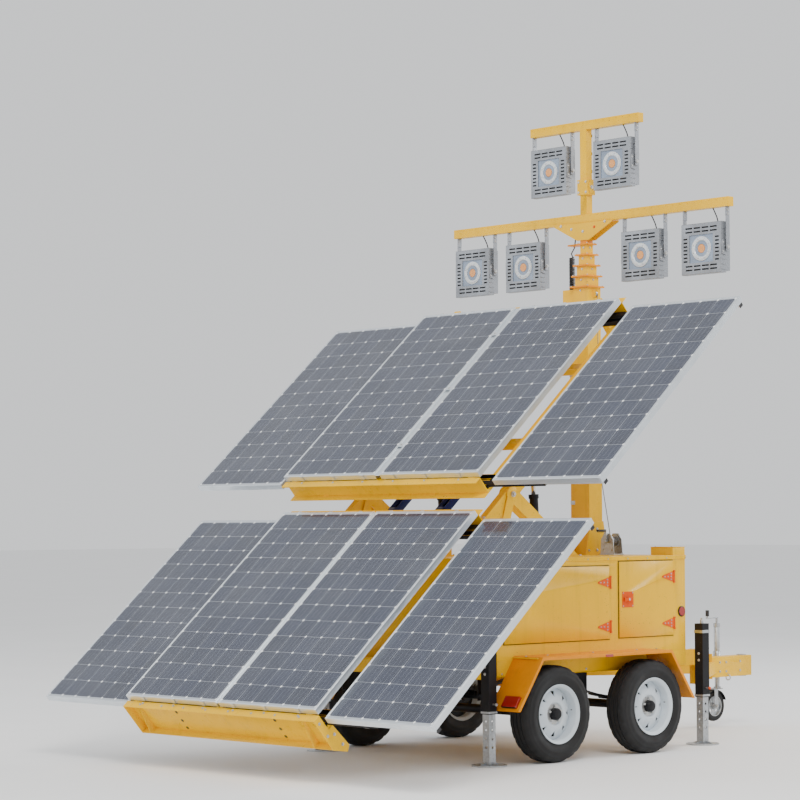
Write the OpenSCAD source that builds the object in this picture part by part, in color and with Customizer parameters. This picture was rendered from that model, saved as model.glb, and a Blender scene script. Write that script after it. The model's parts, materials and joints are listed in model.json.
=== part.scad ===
// Solar light tower trailer: a tandem-axle cabinet trailer with a slide-out array of eight
// solar panels, a telescopic mast and six floodlights. X across, +Y to the drawbar, Z up.

/* [Solar panels] */
// Width of one panel
panel_w = 992; // [830:1:1140]
// Length of one panel along the slope
panel_l = 1956; // [1630:1:2350]
// Depth of the panel's frame
panel_t = 45; // [38:1:46]
// Gap between the two centre panels of the upper array
upper_gap = 50; // [20:1:80]
// Gap between the two centre panels of the lower array
lower_gap = 20; // [10:1:60]
// Gap from the upper centre pair to each side panel
upper_side_gap = 90; // [60:1:110]
// Gap from the lower centre pair to each side panel
lower_side_gap = 36; // [30:1:80]

/* [Array frames] */
// Slope of the panels when deployed
tilt = 41; // [35:1:45]
// How far the arrays flatten from that slope when stowed
tilt_travel = 28; // [15:1:28]
// Drop from a centre pair's face to its side panels' faces
side_drop = 75; // [72:1:78]
// Drop from the upper array's plane to the lower one's
array_drop = 192; // [190:1:200]
// Gap along the slope between the two arrays
array_gap = 181; // [170:1:200]
// Travel of the lower array up its guides
slide_travel = 1800; // [1200:1:1800]
// Height of the array hinge above the ground
hinge_z = 1895; // [1880:1:1930]
// Distance of the array hinge ahead of the rear jacks
hinge_y = 340; // [300:1:345]

/* [Cabinet] */
// Width of the cabinet
cabinet_w = 1640; // [1500:1:1660]
// Length of the cabinet
cabinet_l = 2050; // [1980:1:2100]
// Height of the floor above the ground
floor_z = 720; // [700:1:740]
// Height of the roof above the ground
roof_z = 1440; // [1300:1:1450]
// Thickness of the cabinet's sheet
sheet = 4; // [3:0.5:5]

/* [Chassis] */
// Height of the chassis rails
rail_h = 120; // [100:1:120]
// Width of a chassis rail
rail_w = 60; // [50:1:80]
// Distance between the front and rear jacks
jack_base = 2317; // [2280:1:2500]
// Distance of the drawbar's end ahead of the rear jacks
drawbar_end = 3930; // [3800:1:4700]

/* [Wheels] */
// Radius of the tyres
tyre_r = 343; // [320:1:345]
// Width of the tyres
tyre_w = 200; // [185:1:205]
// Radius of the steel rims
rim_r = 205; // [190:1:215]
// Distance between the two axles
axle_base = 1012; // [960:1:1040]
// Distance from the trailer's centre to the wheels' outer faces
wheel_out = 1089; // [1080:1:1120]

/* [Mast] */
// Width of the mast's outermost tube
mast_w = 150; // [140:1:160]
// Step in width from each tube to the next
mast_step = 20; // [18:1:22]
// Wall of the mast tubes
mast_wall = 4; // [3:0.5:4]
// Height of the outermost tube's top
mast_top = 3530; // [3200:1:3900]
// Rise from each tube's collar to the next
collar_rise = 84; // [70:1:100]
// Length of the lower lamp bar
lower_bar_l = 2870; // [2800:1:3400]
// Length of the upper lamp bar
upper_bar_l = 1130; // [1130:1:1400]
// Height of the upper lamp bar over the lower one
bar_rise = 730; // [680:1:850]

/* [Floodlights] */
// Width and height of a floodlight
light_w = 380; // [320:1:380]
// Depth of a floodlight
light_d = 120; // [100:1:140]
// Drop from a lamp bar's middle to the floodlights' pivots
light_drop = 335; // [320:1:380]

/* [Hidden] */
$fn = 48;

yellow = "#f6c915";
amber = "#e8551c";
navy = "#1c2150";
black = "#1a1b1d";
zinc = "#a9adb1";
silver = "#c6d4de";
glass_blue = "#2e3a58";

run_fit = 0.05;        // radial clearance of a pin or shaft in its bore
slide_fit = 2;         // clearance round a piece that slides
near = 0.3;            // gap between a seated piece and its seat

// Arrays: places along the slope (s) from the upper panels' bottom edge, and depths under
// their face.
half_u = panel_w + upper_gap / 2;
half_l = panel_w + lower_gap / 2;
side_u = half_u + upper_side_gap;
side_l = half_l + lower_side_gap;
lower_s = -array_gap - panel_l;
purlin_h = 22;
purlin_z = -panel_t - purlin_h;
rail_z = -side_drop - panel_t;
side_rail_h = 28;
side_rail_w = 40;
guide_wall = 5;
guide_floor = 8;
guide_z = rail_z - side_rail_h - near - guide_floor;
beam_w = 60;
beam_wall = 6;
beam_gap = 5;
deck_h = 25;
deck_z = guide_z - deck_h;
station_right = 32;
station_left = station_right + 64;
rail_tail = 400;
first_stage = 450;
runner_x = 250;
runner_w = 60;
runner_h = 50;
runner_z = -245;
runner_tail = 331;
tilt_rail_x = 740;
tilt_rail_w = 60;
tilt_rail_h = 100;
pivot_s = 350;
pivot_z = -500;
hinge_r = 20;
tilt_rail_top = pivot_z + tilt_rail_h / 2;
runner_floor = -array_drop + runner_z - runner_h - near;
cross_h = 60;
cross_top = runner_floor - guide_floor;
lift_s = 950;
lift_x = 480;
lift_pin_z = -590;
lift_foot_y = 900;
lift_foot_z = roof_z + 90;
lift_pin_r = 12;
lift_eye_r = 19;
barrel_r = 32;
rod_r = 16;
lift_y = hinge_y + (lift_s - pivot_s) * cos(tilt) - (lift_pin_z - pivot_z) * sin(tilt);
lift_z = hinge_z + (lift_s - pivot_s) * sin(tilt) + (lift_pin_z - pivot_z) * cos(tilt);
lift_len = norm([lift_y - lift_foot_y, lift_z - lift_foot_z]);
lift_lean = atan2(lift_foot_y - lift_y, lift_z - lift_foot_z);
barrel_l = 370;
rod_below = 375;        // reach of a lift rod below its eye

// Cabinet and chassis
cab_x = cabinet_w / 2;
cab_rear = 130;
cab_front = cab_rear + cabinet_l;
apron_z = floor_z - 130;
bulkhead_y = 1360;
rear_door = [200, 835, 1110, 535];
front_door = [1420, 840, 610, 560];
rail_x = cab_x - 25 - rail_w;
rail_z0 = floor_z - rail_h;
frame_rear = -45;
frame_front = jack_base + 45;
jack_w = 78;
jack_x = cab_x + 7 + jack_w / 2;
leg_w = 64;
jack_wall = (jack_w - leg_w) / 2 - near;
jack_top = 918;
jack_bottom = 360;
axle_mid = cab_rear + 870;
axle_r = 32;
spindle_r = 20;
spring_x = rail_x + rail_w / 2;
fender_out = 1100;
fender_t = 5;
fender_top = 750;
fender_low = 382;
drawbar_h = 165;
drawbar_w = 120;
drawbar_z = 420;
jockey_x = -(drawbar_w / 2 + 58);
jockey_y = drawbar_end - 230;
jockey_r = 125;
jockey_lift = 45;
jockey_low = 430;
jockey_top = 820;
jockey_leg_r = 20;

// Mast
mast_y = 2005;
mast_foot = floor_z + 6;
mast_x0 = 0;
collar_t = 12;
collar_lip = 22;
head_z = mast_top + 4 * collar_rise;
bar_h = 70;
bar_w = 60;
lower_bar_z = head_z + 194;
upper_bar_z = lower_bar_z + bar_rise;
post_w = 66;
leg_gap = 12;
yoke_t = 6;
yoke_w = 40;
light_xs = [-lower_bar_l / 2 + 235, -lower_bar_l / 2 + 805, 600, lower_bar_l / 2 - 235,
            -345, 320];
duct_x = -145;
winch_x = 235;
winch_z = roof_z + 105;
drum_r = 28;
crank_arm = 92;
sheave_z = 2150;
sheave_r = 16;
sheave_x = mast_w / 2 + sheave_r + near;

rear_y = hinge_y + (lower_s - beam_gap - beam_w - pivot_s) * cos(tilt)
    + (array_drop + panel_t + pivot_z) * sin(tilt);
origin_y = (drawbar_end + rear_y) / 2;

// ---------------------------------------------------------------- helpers
module place() { translate([0, -origin_y, 0]) children(); }

// Children modelled on the upper array's plane, turned to the deployed slope
module on_slope() {
    translate([0, hinge_y, hinge_z]) rotate([tilt, 0, 0])
        translate([0, -pivot_s, -pivot_z]) children();
}
module on_lower() { on_slope() translate([0, lower_s, -array_drop]) children(); }

// A box given by its lowest and highest corners
module span(a, b) { translate(a) cube(b - a); }

// A cylinder along X, from x = a to x = b
module rod_x(a, b, r) { translate([a, 0, 0]) rotate([0, 90, 0]) cylinder(h = b - a, r = r); }

// A square tube that stands on z = 0
module square_tube(w, h, wall) {
    linear_extrude(h) difference() {
        square(w, center = true);
        square(w - 2 * wall, center = true);
    }
}

// An outline drawn in Y and Z, drawn out along X from a to b
module along_x(a, b) {
    translate([a, 0, 0]) rotate([90, 0, 90]) linear_extrude(b - a) children();
}

// A tube that follows a route of points
function ring(p, dir, r, n) =
    let (u = dir / norm(dir),
         a = abs(u.z) < 0.9 ? [0, 0, 1] : [1, 0, 0],
         v = cross(u, a) / norm(cross(u, a)),
         w = cross(u, v))
    [for (k = [0:n - 1]) p + r * (cos(360 * k / n) * v + sin(360 * k / n) * w)];
module sweep(route, r, n = 8) {
    m = len(route);
    dirs = [for (i = [0:m - 1]) route[min(i + 1, m - 1)] - route[max(i - 1, 0)]];
    rings = [for (i = [0:m - 1]) each ring(route[i], dirs[i], r, n)];
    caps = [[for (k = [0:n - 1]) k], [for (k = [n - 1:-1:0]) (m - 1) * n + k]];
    sides = [for (i = [0:m - 2]) for (k = [0:n - 1])
        [i * n + k, (i + 1) * n + k, (i + 1) * n + (k + 1) % n, i * n + (k + 1) % n]];
    polyhedron(points = rings, faces = concat(caps, sides), convexity = 6);
}

// ---------------------------------------------------------------- arrays
module solar_panel(x) {
    wall = 12;
    lip = 28;
    lip_t = 2;
    glass_t = 6;
    translate([x, 0, -panel_t]) {
        color(silver) difference() {
            cube([panel_w, panel_l, panel_t]);
            translate([wall, wall, lip_t])
                cube([panel_w - 2 * wall, panel_l - 2 * wall, panel_t]);
            translate([lip, lip, -1]) cube([panel_w - 2 * lip, panel_l - 2 * lip, lip_t + 2]);
        }
        color(glass_blue) translate([wall, wall, panel_t - glass_t - 1])
            cube([panel_w - 2 * wall, panel_l - 2 * wall, glass_t]);
        color(black) translate([panel_w / 2 - 60, panel_l - 180, panel_t - glass_t - 23])
            cube([120, 90, 22]);
    }
}
module centre_panels(gap) {
    solar_panel(gap / 2);
    solar_panel(-gap / 2 - panel_w);
}

// A side panel on its two telescopic rails; side is 1 on the right and -1 on the left
module side_panel(x, station, side) {
    mirror([side < 0 ? 1 : 0, 0, 0]) {
        translate([0, 0, -side_drop]) solar_panel(x);
        for (s = [station, panel_l - station]) {
            color(black) span([x - rail_tail, s - side_rail_w / 2, rail_z - side_rail_h],
                              [x + first_stage, s + side_rail_w / 2, rail_z]);
            color(zinc) span([x + first_stage, s - side_rail_w / 2 + 6, rail_z - 20],
                             [x + panel_w - 6, s + side_rail_w / 2 - 6, rail_z]);
            color(black) span([x + panel_w - 6, s - side_rail_w / 2 + 2, rail_z - 26],
                              [x + panel_w, s + side_rail_w / 2 - 2, rail_z]);
        }
    }
}

// C-shaped beam across the slope, open away from the panels; s is its inner face
module end_beam(half, s, dir, depth) {
    bottom = -panel_t - depth;
    near_s = dir < 0 ? s - beam_w : s;
    web_s = dir < 0 ? s - beam_wall : s;
    span([-half, web_s, bottom], [half, web_s + beam_wall, -panel_t]);
    span([-half, near_s, -panel_t - beam_wall], [half, near_s + beam_w, -panel_t]);
    span([-half, near_s, bottom], [half, near_s + beam_w, bottom + beam_wall]);
}

// What each array's own frame has: end beams, purlins, side decks and the rails' guides
module array_deck(half, low_depth, top_depth) {
    color(yellow) {
        end_beam(half, -beam_gap, -1, low_depth);
        end_beam(half, panel_l + beam_gap, 1, top_depth);
        for (x = [-half + 60, -30, half - 120])
            span([x, -beam_gap, purlin_z], [x + 60, panel_l + beam_gap, -panel_t]);
        for (x = [-half, half - 70])
            span([x, -beam_gap, deck_z], [x + 70, panel_l + beam_gap, guide_z]);
    }
    for (s = [station_right, station_left, panel_l - station_right, panel_l - station_left])
        color(black) translate([0, s, guide_z]) side_guide(half);
}
module side_guide(half) {
    w = side_rail_w / 2 + slide_fit;
    span([-half, -w - guide_wall, 0], [half, w + guide_wall, guide_floor]);
    for (y = [-w - guide_wall, w])
        span([-half, y, guide_floor], [half, y + guide_wall, guide_floor + side_rail_h - 2]);
}

module upper_frame() {
    depth = -deck_z - panel_t;
    arm_s = panel_l + beam_gap;
    on_slope() {
        array_deck(half_u, depth, depth);
        color(yellow) for (x = [-half_u - 62, half_u])
            span([x, 250, guide_z - deck_h], [x + 62, panel_l - 330, guide_z]);
        color(yellow) difference() {
            for (x = [-tilt_rail_x, tilt_rail_x]) {
                span([x - tilt_rail_w / 2, -40, pivot_z - tilt_rail_h / 2],
                     [x + tilt_rail_w / 2, arm_s + 80, tilt_rail_top]);
                span([x - tilt_rail_w / 2, arm_s, tilt_rail_top],
                     [x + tilt_rail_w / 2, arm_s + 80, -panel_t]);
            }
            translate([0, pivot_s, pivot_z])
                rod_x(-tilt_rail_x - 60, tilt_rail_x + 60, hinge_r + run_fit);
        }
        color(yellow) for (s = [0, lift_s - 30, panel_l - 160])
            span([-tilt_rail_x + tilt_rail_w / 2, s, cross_top - cross_h],
                 [tilt_rail_x - tilt_rail_w / 2, s + 60, cross_top]);
        color(navy) for (x = [-runner_x, runner_x])
            translate([x, 0, runner_floor - guide_floor]) runner_guide();
        color(yellow) for (x = [-lift_x, lift_x])
            translate([x, lift_s, 0]) lift_ears();
    }
}

// The grooved channel that a lower-array runner slides in
module runner_guide() {
    w = runner_w / 2 + slide_fit;
    wall = 8;
    lip_low = guide_floor + slide_fit + 20;
    difference() {
        span([-w - wall, -40, 0], [w + wall, panel_l + 1, guide_floor + runner_h - 2]);
        span([-w, -41, guide_floor], [w, panel_l + 2, lip_low]);
        span([-w + 10, -41, lip_low - 1], [w - 10, panel_l + 2, lip_low + 7]);
        span([-w, -41, lip_low + 6], [w, panel_l + 2, guide_floor + runner_h]);
    }
}
module runner() {
    groove_low = 16;
    difference() {
        span([-runner_w / 2, -beam_gap, 0],
             [runner_w / 2, panel_l + runner_tail, runner_h]);
        for (x = [-runner_w / 2 - 1, runner_w / 2 - 10])
            span([x, -beam_gap - 1, groove_low],
                 [x + 11, panel_l + runner_tail + 1, groove_low + 14]);
    }
}
module lift_ears() {
    low = lift_pin_z - 30;
    difference() {
        for (x = [-34, 24]) span([x, -30, low], [x + 10, 30, cross_top - cross_h]);
        translate([0, 0, lift_pin_z]) rod_x(-40, 40, lift_pin_r);
    }
    translate([0, 0, lift_pin_z]) rod_x(-34, 34, lift_pin_r);
}

module upper_centre_panels() { on_slope() centre_panels(upper_gap); }
module upper_right_panel() { on_slope() side_panel(side_u, station_right, 1); }
module upper_left_panel() { on_slope() side_panel(side_u, station_left, -1); }

module lower_frame() {
    low_depth = -runner_z + runner_h + 10 - panel_t;
    top_depth = -runner_z - panel_t;
    on_lower() {
        array_deck(half_l, low_depth, top_depth);
        color(yellow) for (x = [-half_l - 8, half_l]) {
            along_x(x, x + 8) polygon([
                [-beam_gap - beam_w, -panel_t], [-beam_gap, -panel_t],
                [-beam_gap, deck_z + 8], [40, deck_z + 8], [60, -low_depth - panel_t - 70],
                [20, -low_depth - panel_t - 95], [-beam_gap - beam_w, -low_depth - panel_t]]);
        }
        color(yellow) for (x = [-half_l + 90, half_l - 180])
            along_x(x, x + 8) polygon([
                [-beam_gap - beam_wall, -panel_t - beam_wall],
                [-beam_gap - beam_wall, -low_depth - panel_t + beam_wall],
                [-beam_gap - beam_w, -low_depth - panel_t + beam_wall]]);
        color(navy) for (x = [-runner_x, runner_x])
            translate([x, 0, runner_z - runner_h]) runner();
    }
}
module lower_centre_panels() { on_lower() centre_panels(lower_gap); }
module lower_right_panel() { on_lower() side_panel(side_l, station_right, 1); }
module lower_left_panel() { on_lower() side_panel(side_l, station_left, -1); }

// Array hinge ears, their legs on the roof and the lift cylinders' feet
module array_supports() {
    ear_t = 10;
    ear_in = tilt_rail_x - tilt_rail_w / 2 - slide_fit - ear_t;
    ear_out = tilt_rail_x + tilt_rail_w / 2 + slide_fit;
    color(yellow) for (side = [-1, 1]) for (x = [ear_in, ear_out])
        mirror([side < 0 ? 1 : 0, 0, 0]) along_x(x, x + ear_t) hinge_leg();
    color(yellow) for (x = [-tilt_rail_x, tilt_rail_x])
        for (y = [cab_rear + 20, cab_rear + 740])
            span([x - 70, y, roof_z], [x + 70, y + 180, roof_z + 10]);
    color(zinc) for (side = [-1, 1]) translate([0, hinge_y, hinge_z])
        mirror([side < 0 ? 1 : 0, 0, 0])
            rod_x(ear_in - 12, ear_out + ear_t + 12, hinge_r);
    color(yellow) for (x = [-lift_x, lift_x]) translate([x, lift_foot_y, roof_z]) {
        span([-60, -60, 0], [60, 60, 10]);
        difference() {
            for (e = [-44, 34]) span([e, -35, 10], [e + 10, 35, lift_foot_z - roof_z + 30]);
            translate([0, 0, lift_foot_z - roof_z]) rod_x(-50, 50, lift_pin_r);
        }
        translate([0, 0, lift_foot_z - roof_z]) rod_x(-44, 44, lift_pin_r);
    }
}
module hinge_leg() {
    foot_z = roof_z + 10;
    difference() {
        union() {
            translate([hinge_y, hinge_z]) circle(r = 55);
            polygon([[hinge_y - 52, hinge_z - 20], [cab_rear + 25, foot_z],
                     [cab_rear + 110, foot_z], [hinge_y + 15, hinge_z - 52]]);
            polygon([[hinge_y - 30, hinge_z - 46], [cab_rear + 765, foot_z],
                     [cab_rear + 900, foot_z], [hinge_y + 40, hinge_z + 36]]);
        }
        translate([hinge_y, hinge_z]) circle(r = hinge_r);
    }
}

// Lift cylinders, modelled upright on their foot pins and leant to the frame's pins
module on_lift() {
    for (x = [-lift_x, lift_x])
        translate([x, lift_foot_y, lift_foot_z]) rotate([lift_lean, 0, 0]) children();
}
module lift_barrels() {
    on_lift() color(black) difference() {
        union() {
            rod_x(-32, 32, 28);
            translate([0, 0, 20]) cylinder(h = barrel_l - 20, r = barrel_r);
            translate([0, 0, barrel_l - 30]) cylinder(h = 30, r = barrel_r + 6);
        }
        rod_x(-33, 33, lift_pin_r + run_fit);
        translate([0, 0, 36]) cylinder(h = barrel_l, r = rod_r + run_fit);
    }
}
module lift_rods() {
    on_lift() color(zinc) difference() {
        union() {
            translate([0, 0, lift_len - rod_below])
                cylinder(h = rod_below - lift_eye_r - 6, r = rod_r);
            translate([0, 0, lift_len]) rod_x(-20, 20, lift_eye_r + 12);
        }
        translate([0, 0, lift_len]) rod_x(-21, 21, lift_eye_r);
    }
}

// ---------------------------------------------------------------- chassis
module chassis_frame() {
    color(yellow) {
        for (x = [-rail_x - rail_w, rail_x])
            difference() {
                span([x, frame_rear, rail_z0], [x + rail_w, frame_front, floor_z]);
                span([x < 0 ? x + 6 : x - 1, frame_rear - 1, rail_z0 + 6],
                     [x < 0 ? x + rail_w + 1 : x + rail_w - 6, frame_front + 1, floor_z - 6]);
            }
        for (y = [frame_rear, axle_mid - axle_base / 2 - 40, axle_mid - 40,
                  axle_mid + axle_base / 2 - 40, frame_front - 80])
            difference() {
                span([-rail_x, y, rail_z0 + 6], [rail_x, y + 80, floor_z - 6]);
                span([-rail_x - 1, y + 5, rail_z0 + 11], [rail_x + 1, y + 75, floor_z - 11]);
            }
        for (x = [-1, 1]) for (y = [0, jack_base])
            mirror([x < 0 ? 1 : 0, 0, 0])
                span([rail_x + rail_w, y - 40, rail_z0], [jack_x - jack_w / 2, y + 40, floor_z]);
    }
}

module drawbar() {
    arm_w = 50;
    head_rear = drawbar_end - 530;
    top = drawbar_z + drawbar_h;
    color(yellow) {
        for (side = [-1, 1]) mirror([side < 0 ? 1 : 0, 0, 0])
            translate([0, 0, drawbar_z + 30]) linear_extrude(100) polygon([
                [rail_x - 30, frame_front], [rail_x + 50, frame_front],
                [drawbar_w / 2, head_rear + 60], [drawbar_w / 2 - arm_w, head_rear + 60]]);
        for (side = [-1, 1]) mirror([side < 0 ? 1 : 0, 0, 0])
            span([rail_x - 30, frame_front, drawbar_z + 30],
                 [rail_x + 50, frame_front + 10, floor_z]);
        difference() {
            span([-drawbar_w / 2, head_rear, drawbar_z], [drawbar_w / 2, drawbar_end, top]);
            span([-drawbar_w / 2 + 8, head_rear - 1, drawbar_z + 12],
                 [drawbar_w / 2 - 8, drawbar_end + 1, top - 12]);
            translate([0, drawbar_end - 60, drawbar_z - 1])
                cylinder(h = drawbar_h + 2, r = 21);
        }
        span([-drawbar_w / 2 - 14, head_rear, drawbar_z - 10],
             [drawbar_w / 2 + 14, head_rear + 8, top + 30]);
    }
    color(zinc) translate([jockey_x, jockey_y, 0]) difference() {
        union() {
            translate([0, 0, drawbar_z + 10]) cylinder(h = drawbar_h + 25, r = 32);
            translate([0, 0, jockey_low]) cylinder(h = jockey_top - jockey_low, r = 24);
            span([0, -30, drawbar_z + 20],
                 [-jockey_x - drawbar_w / 2, 30, drawbar_z + drawbar_h - 10]);
        }
        translate([0, 0, jockey_low - 1])
            cylinder(h = jockey_top - jockey_low - 11, r = jockey_leg_r + run_fit);
    }
}

module cabinet_shell() {
    inner = sheet;
    color(yellow) difference() {
        span([-cab_x, cab_rear, floor_z], [cab_x, cab_front, roof_z - sheet]);
        span([-cab_x + inner, cab_rear + inner, floor_z + sheet],
             [cab_x - inner, cab_front - inner, roof_z + 1]);
        door_hole(rear_door, 1);
        door_hole(front_door, 1);
        door_hole(rear_door, -1);
    }
    color(yellow) span([-cab_x + inner, bulkhead_y, floor_z + sheet],
                       [cab_x - inner, bulkhead_y + sheet, roof_z - sheet]);
    color(amber) {
        fixed_knuckles(rear_door, 1);
        fixed_knuckles(front_door, 1);
        fixed_knuckles(rear_door, -1);
    }
}
module door_hole(d, side) {
    rim = 25;
    mirror([side < 0 ? 1 : 0, 0, 0])
        span([cab_x - sheet - 1, d[0] + rim, d[1] + rim],
             [cab_x + 1, d[0] + d[2] - rim, d[1] + d[3] - rim]);
}
module cabinet_roof() {
    color(yellow) {
        difference() {
            span([-cab_x - 6, cab_rear - 6, roof_z - sheet], [cab_x + 6, cab_front + 6, roof_z]);
            span([-mast_w / 2 - 1, mast_y - mast_w / 2 - 1, roof_z - 20],
                 [mast_w / 2 + 1, mast_y + mast_w / 2 + 1, roof_z + 1]);
        }
        difference() {
            span([-cab_x - 6, cab_rear - 6, roof_z - 30], [cab_x + 6, cab_front + 6, roof_z - sheet]);
            span([-cab_x, cab_rear, roof_z - 31], [cab_x, cab_front, roof_z]);
        }
        span([cab_x - 220, cab_front - 140, roof_z], [cab_x, cab_front, roof_z + 60]);
    }
}

// Places of a door's hinges along Z, and the line that their pins stand on
function hinge_zs(d) = [d[1] + 90, d[1] + d[3] - 120];
pin_x = cab_x + 11;
pin_r = 3;
knuckle_r = 8;
knuckle_h = 68;
pin_off = 9;
plate_t = 3;
leaf_x = cab_x + near;
leaf_t = 8;

// A door leaf with its strap hinges at the front edge and its latch plate
module door(d, side) {
    skin = 3;
    mirror([side < 0 ? 1 : 0, 0, 0]) {
        color(yellow) difference() {
            span([leaf_x, d[0], d[1]], [leaf_x + leaf_t, d[0] + d[2], d[1] + d[3]]);
            span([leaf_x - 1, d[0] + skin, d[1] + skin],
                 [leaf_x + leaf_t - skin, d[0] + d[2] - skin, d[1] + d[3] - skin]);
        }
        color(amber) for (z = hinge_zs(d)) translate([0, d[0] + d[2], z]) {
            translate([leaf_x + leaf_t, -6, 0]) rotate([90, 0, 90]) linear_extrude(5)
                polygon([[-120, -6], [-120, 6], [0, 38], [0, -38]]);
            span([leaf_x + leaf_t, -8, -30], [leaf_x + leaf_t + 5, pin_off - 4, 30]);
            translate([pin_x, pin_off, -knuckle_h / 2]) cylinder(h = knuckle_h, r = knuckle_r);
            translate([pin_x, pin_off, -knuckle_h / 2 - 12])
                cylinder(h = knuckle_h + 24, r = pin_r);
        }
        color(amber) span([leaf_x + leaf_t, d[0] + 30, d[1] + d[3] / 2 - 58],
                          [leaf_x + leaf_t + plate_t, d[0] + 154, d[1] + d[3] / 2 + 58]);
    }
}
// The fixed knuckles of a door's hinges, on the cabinet's side
module fixed_knuckles(d, side) {
    mirror([side < 0 ? 1 : 0, 0, 0])
        for (z = hinge_zs(d)) for (e = [-knuckle_h / 2 - 13, knuckle_h / 2 + 1])
            translate([0, d[0] + d[2] + pin_off, z + e]) difference() {
                union() {
                    translate([pin_x, 0, 0]) cylinder(h = 12, r = knuckle_r);
                    span([cab_x, -knuckle_r, 0], [pin_x, knuckle_r + 10, 12]);
                }
                translate([pin_x, 0, -1]) cylinder(h = 14, r = pin_r + run_fit);
            }
}
// Turning handle of a door's latch
module latch(d, side) {
    mirror([side < 0 ? 1 : 0, 0, 0]) color(amber)
        translate([leaf_x + leaf_t + plate_t + near, d[0] + 92, d[1] + d[3] / 2]) {
            rod_x(0, 12, 18);
            span([8, -50, -13], [16, 42, 13]);
        }
}
module right_rear_door() { door(rear_door, 1); }
module right_front_door() { door(front_door, 1); }
module left_door() { door(rear_door, -1); }
module right_rear_latch() { latch(rear_door, 1); }
module right_front_latch() { latch(front_door, 1); }
module left_latch() { latch(rear_door, -1); }

module battery_bank() {
    unit = [520, 240, 225];
    for (row = [0, 1]) for (k = [0:3])
        translate([-560 + row * 570, cab_rear + 150 + k * 262, floor_z + sheet]) {
            color(black) cube(unit);
            color(zinc) for (x = [70, unit.x - 70])
                translate([x, unit.y / 2, unit.z]) cylinder(h = 18, r = 10);
        }
}
module charge_controller() {
    color(zinc) span([-260, bulkhead_y - 110, 1030], [120, bulkhead_y, 1330]);
    color(black) span([180, bulkhead_y - 90, 1100], [420, bulkhead_y, 1300]);
}

module fenders() {
    inner_x = cab_x;
    outline = [[axle_mid - 952, fender_low], [axle_mid - 695, fender_top],
               [axle_mid + 695, fender_top], [axle_mid + 952, fender_low]];
    color(yellow) for (side = [-1, 1]) mirror([side < 0 ? 1 : 0, 0, 0]) {
        along_x(inner_x, fender_out) fender_strip(outline, fender_t);
        along_x(fender_out - 4, fender_out) fender_strip(outline, 22);
        span([cab_x - sheet, cab_rear, apron_z + 20], [cab_x, cab_front, floor_z]);
    }
    color(yellow) difference() {
        span([-cab_x, cab_rear, floor_z - 40], [cab_x, cab_rear + sheet, floor_z]);
        for (x = [-rail_x - rail_w, rail_x])
            span([x, cab_rear - 1, floor_z - 60], [x + rail_w, cab_rear + sheet + 1, floor_z]);
    }
}
module fender_strip(p, t) {
    run = (p[1].x - p[0].x) / norm(p[1] - p[0]);
    up = (p[1].y - p[0].y) / norm(p[1] - p[0]);
    inset = t / up;
    knee = t * (1 - run) / up;
    polygon([p[0], p[1], p[2], p[3], p[3] - [inset, 0], [p[2].x - knee, p[2].y - t],
             [p[1].x + knee, p[1].y - t], p[0] + [inset, 0]]);
}

module tail_lamps() {
    slope = atan2(fender_top - fender_low, 257);
    color("#c4281c") for (side = [-1, 1]) mirror([side < 0 ? 1 : 0, 0, 0]) {
        translate([fender_out - 165, axle_mid - 952, fender_low]) rotate([slope, 0, 0])
            span([0, 25, 0], [140, 115, 22]);
        translate([cab_x, cab_front - 46, 1014]) rod_x(0, 9, 34);
    }
}

module axles() {
    inner_x = wheel_out - tyre_w - 20;
    color(black) for (y = [axle_mid - axle_base / 2, axle_mid + axle_base / 2])
        translate([0, y, tyre_r]) {
            rod_x(-inner_x, inner_x, axle_r);
            for (side = [-1, 1]) mirror([side < 0 ? 1 : 0, 0, 0]) {
                rod_x(inner_x - 12, inner_x, 60);
                rod_x(inner_x, wheel_out - 36, spindle_r);
            }
        }
}

// One leaf: an arc bowed downward, its ends level with the eyes
module leaf_arc(half, bow, drop, t) {
    n = 12;
    top = [for (k = [0:n]) let (y = -half + 2 * half * k / n)
        [y, -bow * (1 - pow(y / half, 2)) - drop]];
    low = [for (k = [n:-1:0]) top[k] - [0, t]];
    polygon(concat(top, low));
}
module leaf_springs() {
    half = axle_base / 2 - 60;
    eye_z = tyre_r + axle_r + 105;
    t = 9;
    color(black) for (side = [-1, 1]) translate([side * spring_x - 30, 0, 0]) {
        for (y = [axle_mid - axle_base / 2, axle_mid + axle_base / 2])
            translate([0, y, eye_z]) {
                difference() {
                    union() {
                        for (k = [0:2]) along_x(0, 60)
                            leaf_arc(half - k * 110, 70 * pow(1 - k * 110 / half, 2),
                                     70 - 70 * pow(1 - k * 110 / half, 2) + k * t, t + 0.5);
                        for (e = [-half, half]) translate([0, e, -6]) rod_x(0, 60, 20);
                    }
                    for (e = [-half, half]) translate([0, e, -6]) rod_x(-1, 61, 9);
                }
                span([-6, -45, -70 - 3 * t - 8], [66, 45, -70 - 3 * t]);
                for (b = [-40, 34]) for (x = [-6, 60])
                    span([x, b, -70 - 3 * t - 50], [x + 6, b + 6, -56]);
            }
        for (y = [axle_mid - axle_base / 2 - half, axle_mid, axle_mid + axle_base / 2 + half])
            difference() {
                for (x = [-8, 62])
                    span([x, y - (y == axle_mid ? 85 : 22), eye_z - 34],
                         [x + 6, y + (y == axle_mid ? 85 : 22), rail_z0]);
            }
        for (y = [axle_mid - axle_base / 2, axle_mid + axle_base / 2])
            for (e = [-half, half]) translate([0, y + e, eye_z - 6]) rod_x(-14, 74, 9);
    }
}

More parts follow.
